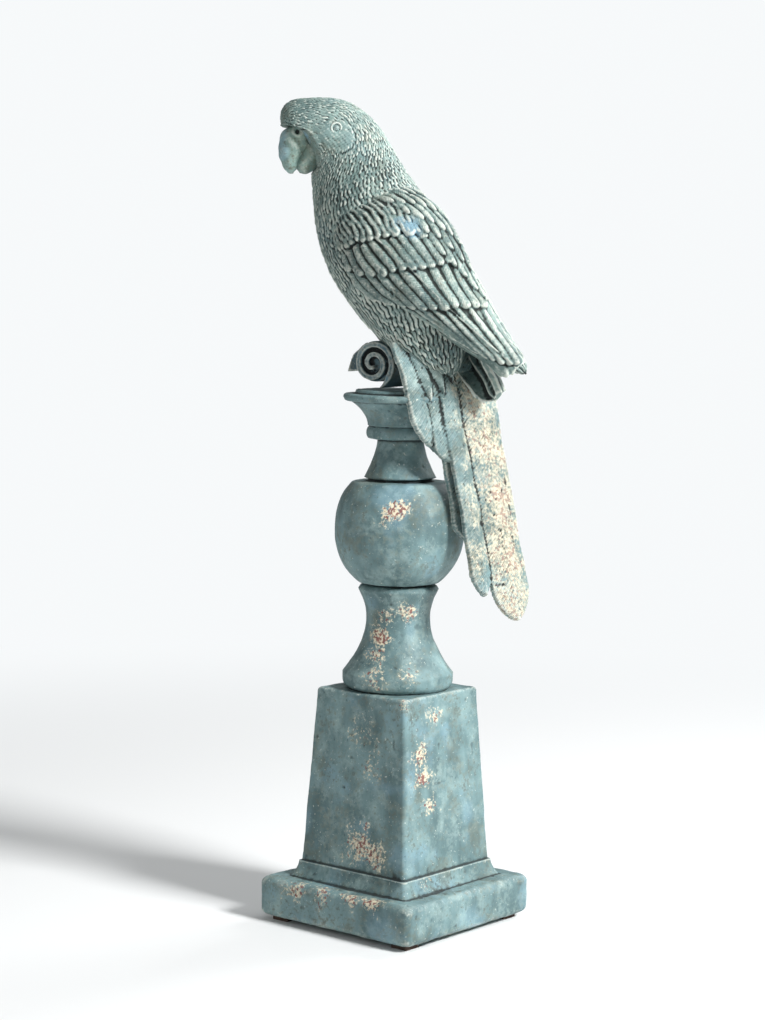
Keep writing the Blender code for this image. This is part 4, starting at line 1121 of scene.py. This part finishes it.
forms, tags = [], []
for left, height, first, last, width, narrows, lean in TAIL_FEATHERS:
    length = TAIL_LENGTH * (last - first)
    share = np.linspace(0, 1, int(length / FEATHER_STEP))[:, None]
    aside = np.linspace(-1, 1, 31)[None, :]
    taper = np.clip((share - narrows) / (1 - narrows), 0, 1)
    half = width * np.minimum(1, 0.78 + share) * (1 - taper**1.8) ** 0.9
    saw = np.mod(share * length / SAW_STEP + 0.3 * np.sin(share * 23 + left), 1) - 0.5
    saw_depth = (0.1 + 0.6 * np.sin(share * 9 + left) ** 2) * np.clip(share * 8, 0, 1) * (half > 3)
    half = half + saw_depth * saw * np.abs(aside) ** 6
    down = np.clip(first + (last - first) * share, 0, 1)
    crown = height + 0.8 - 2.0 * aside**2 + 0.25 * mound(half * aside, 0.7)
    crown = crown + 0.3 * np.sin(share * length / 5 + left)
    middle = left + lean * taper**1.5 + 0.5 * np.sin(share * 7 + left)
    top = on_tail(down, middle - half * aside, crown)
    under = on_tail(down, middle - half * aside, crown - 4.0 + 0.6 * np.abs(aside))
    forms.append(outward(slab_form(top, under)))
    beside = half * aside + 0 * share
    tags.append(np.tile(np.stack([(share * length + 0 * beside).ravel(), beside.ravel()], 1), (2, 1)))
mesh = fused("tail", forms, TAIL_GRAIN, rounds=1)
comb_barbs(mesh, add_attributes(mesh, forms, tags), spacing=2.2, depth=0.06)
hand_cast(mesh, seed=95, strength=1.6)
TAIL_LOOK = {
    **BIRD_LOOK, "barbs": 1.3, "barb_groove_dark": 0.2, "main": paint(112, 140, 142), "light": paint(158, 178, 174),
    "worn": 0.4, "red": 0.6, "chip": (0.60, 1.05), "rub_and_highlight": 0.6, "rub_and_highlight_to": 3.5, "wash_and_shade_to": 1.6, "specks": 0.6,
}
# Its worn places: how far down the tail, how far left of the ridge, radius and strength
WORN_TAIL = (
    (0.24, -11, 20, 0.7), (0.34, -14, 24, 0.9), (0.46, -16, 26, 0.9), (0.58, -17, 28, 0.9),
    (0.70, -17, 28, 0.9), (0.82, -16, 28, 0.9), (0.94, -15, 24, 0.9), (0.60, 4, 14, 0.4), (0.80, 6, 16, 0.5),
)
tail_paint = weathered_paint("tail_paint", TAIL_LOOK, [
    (on_tail(down, left, 1) / MM, radius, strength) for down, left, radius, strength in WORN_TAIL
])
new_piece("tail", mesh, tail_paint)

# Four stick-on pads lie under the slab, one near each corner, glued on by hand. They are brown rubbery felt,
# a little dusty.
pad_finish = bpy.data.materials.new("brown_pad")
pad_finish.use_nodes = True
pad_shader = pad_finish.node_tree.nodes["Principled BSDF"]
start = Tone(pad_finish.node_tree)
place = start.node("TexCoord", out="Object")
fibres = start.node("TexNoise", None, {"Vector": place, "Scale": 900.0, "Detail": 3.0})
dust = start.node("TexNoise", None, {"Vector": place, "Scale": 160.0, "Detail": 2.0})
brown = dust.between(0.4, 0.65).coat(paint(58, 42, 34), paint(86, 68, 56))
start.feed(pad_shader.inputs["Base Color"], brown)
start.feed(pad_shader.inputs["Roughness"], 0.82 + (fibres - 0.5) * 0.2)
felt = start.node("Bump", None, {"Height": fibres, "Distance": 0.2 * MM, "Strength": 0.7})
start.feed(pad_shader.inputs["Normal"], felt)
for side in ("front", "left", "right", "back"):
    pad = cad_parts[f"foot_pad_{side}"]
    pad.material_slots[0].material = pad_finish

# A plain pale tabletop that runs out into a white room, with soft light: a large lamp high on the right of
# the view, a weak one on its left, one from behind and the room itself.
PAD_FOOT = -3
ROOM_WHITE = (0.93, 0.95, 0.96, 1)
LAMP_AIM = Vector((0, 0, 0.25))
bpy.ops.mesh.primitive_plane_add(size=30, location=(0, 0, PAD_FOOT * MM))
floor = bpy.context.object
floor.name = "pale_floor"
floor_finish = bpy.data.materials.new("pale_floor")
floor_finish.use_nodes = True
floor_shader = floor_finish.node_tree.nodes["Principled BSDF"]
floor_shader.inputs["Base Color"].default_value = (0.80, 0.81, 0.81, 1)
floor_shader.inputs["Roughness"].default_value = 0.6
start = Tone(floor_finish.node_tree)
place = start.node("TexCoord", out="Object")
from_middle = start.node("VectorMath", {"operation": "LENGTH"}, {0: place}, out="Value")
seen = start.node("LightPath", out="Is Camera Ray")
glow = start.node("Emission", None, {"Color": ROOM_WHITE, "Strength": 1.0})
surface = Tone(floor_finish.node_tree, floor_shader.outputs["BSDF"])
faded = start.node("MixShader", None, {0: from_middle.between(0.25, 1.1) * seen, 1: surface, 2: glow})
start.feed(floor_finish.node_tree.nodes["Material Output"].inputs["Surface"], faded)
floor.data.materials.append(floor_finish)
floor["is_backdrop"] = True


def soft_lamp(name, place, size, power):
    lamp = bpy.data.lights.new(name, "AREA")
    lamp.shape = "DISK"
    lamp.size = size
    lamp.energy = power
    holder = bpy.data.objects.new(name, lamp)
    bpy.context.scene.collection.objects.link(holder)
    holder.location = place
    holder.rotation_euler = (LAMP_AIM - Vector(place)).to_track_quat("-Z", "Y").to_euler()


soft_lamp("key_lamp", (-0.05, 1.5, 1.25), 0.45, 58)
soft_lamp("fill_lamp", (1.7, -0.7, 0.9), 1.2, 5)
soft_lamp("back_lamp", (-1.3, 0.2, 1.2), 0.8, 12)

world = bpy.data.worlds.new("studio_room")
world.use_nodes = True
room = world.node_tree.nodes["Background"]
start = Tone(world.node_tree)
seen = start.node("LightPath", out="Is Camera Ray")
glossy = start.node("LightPath", out="Is Glossy Ray")
strength = 0.24 + start.sum("MAXIMUM", seen, glossy * 0.4) * 0.76
room.inputs["Color"].default_value = ROOM_WHITE
start.feed(room.inputs["Strength"], strength)
bpy.context.scene.world = world
bpy.context.scene.view_settings.view_transform = "Standard"

low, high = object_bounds()
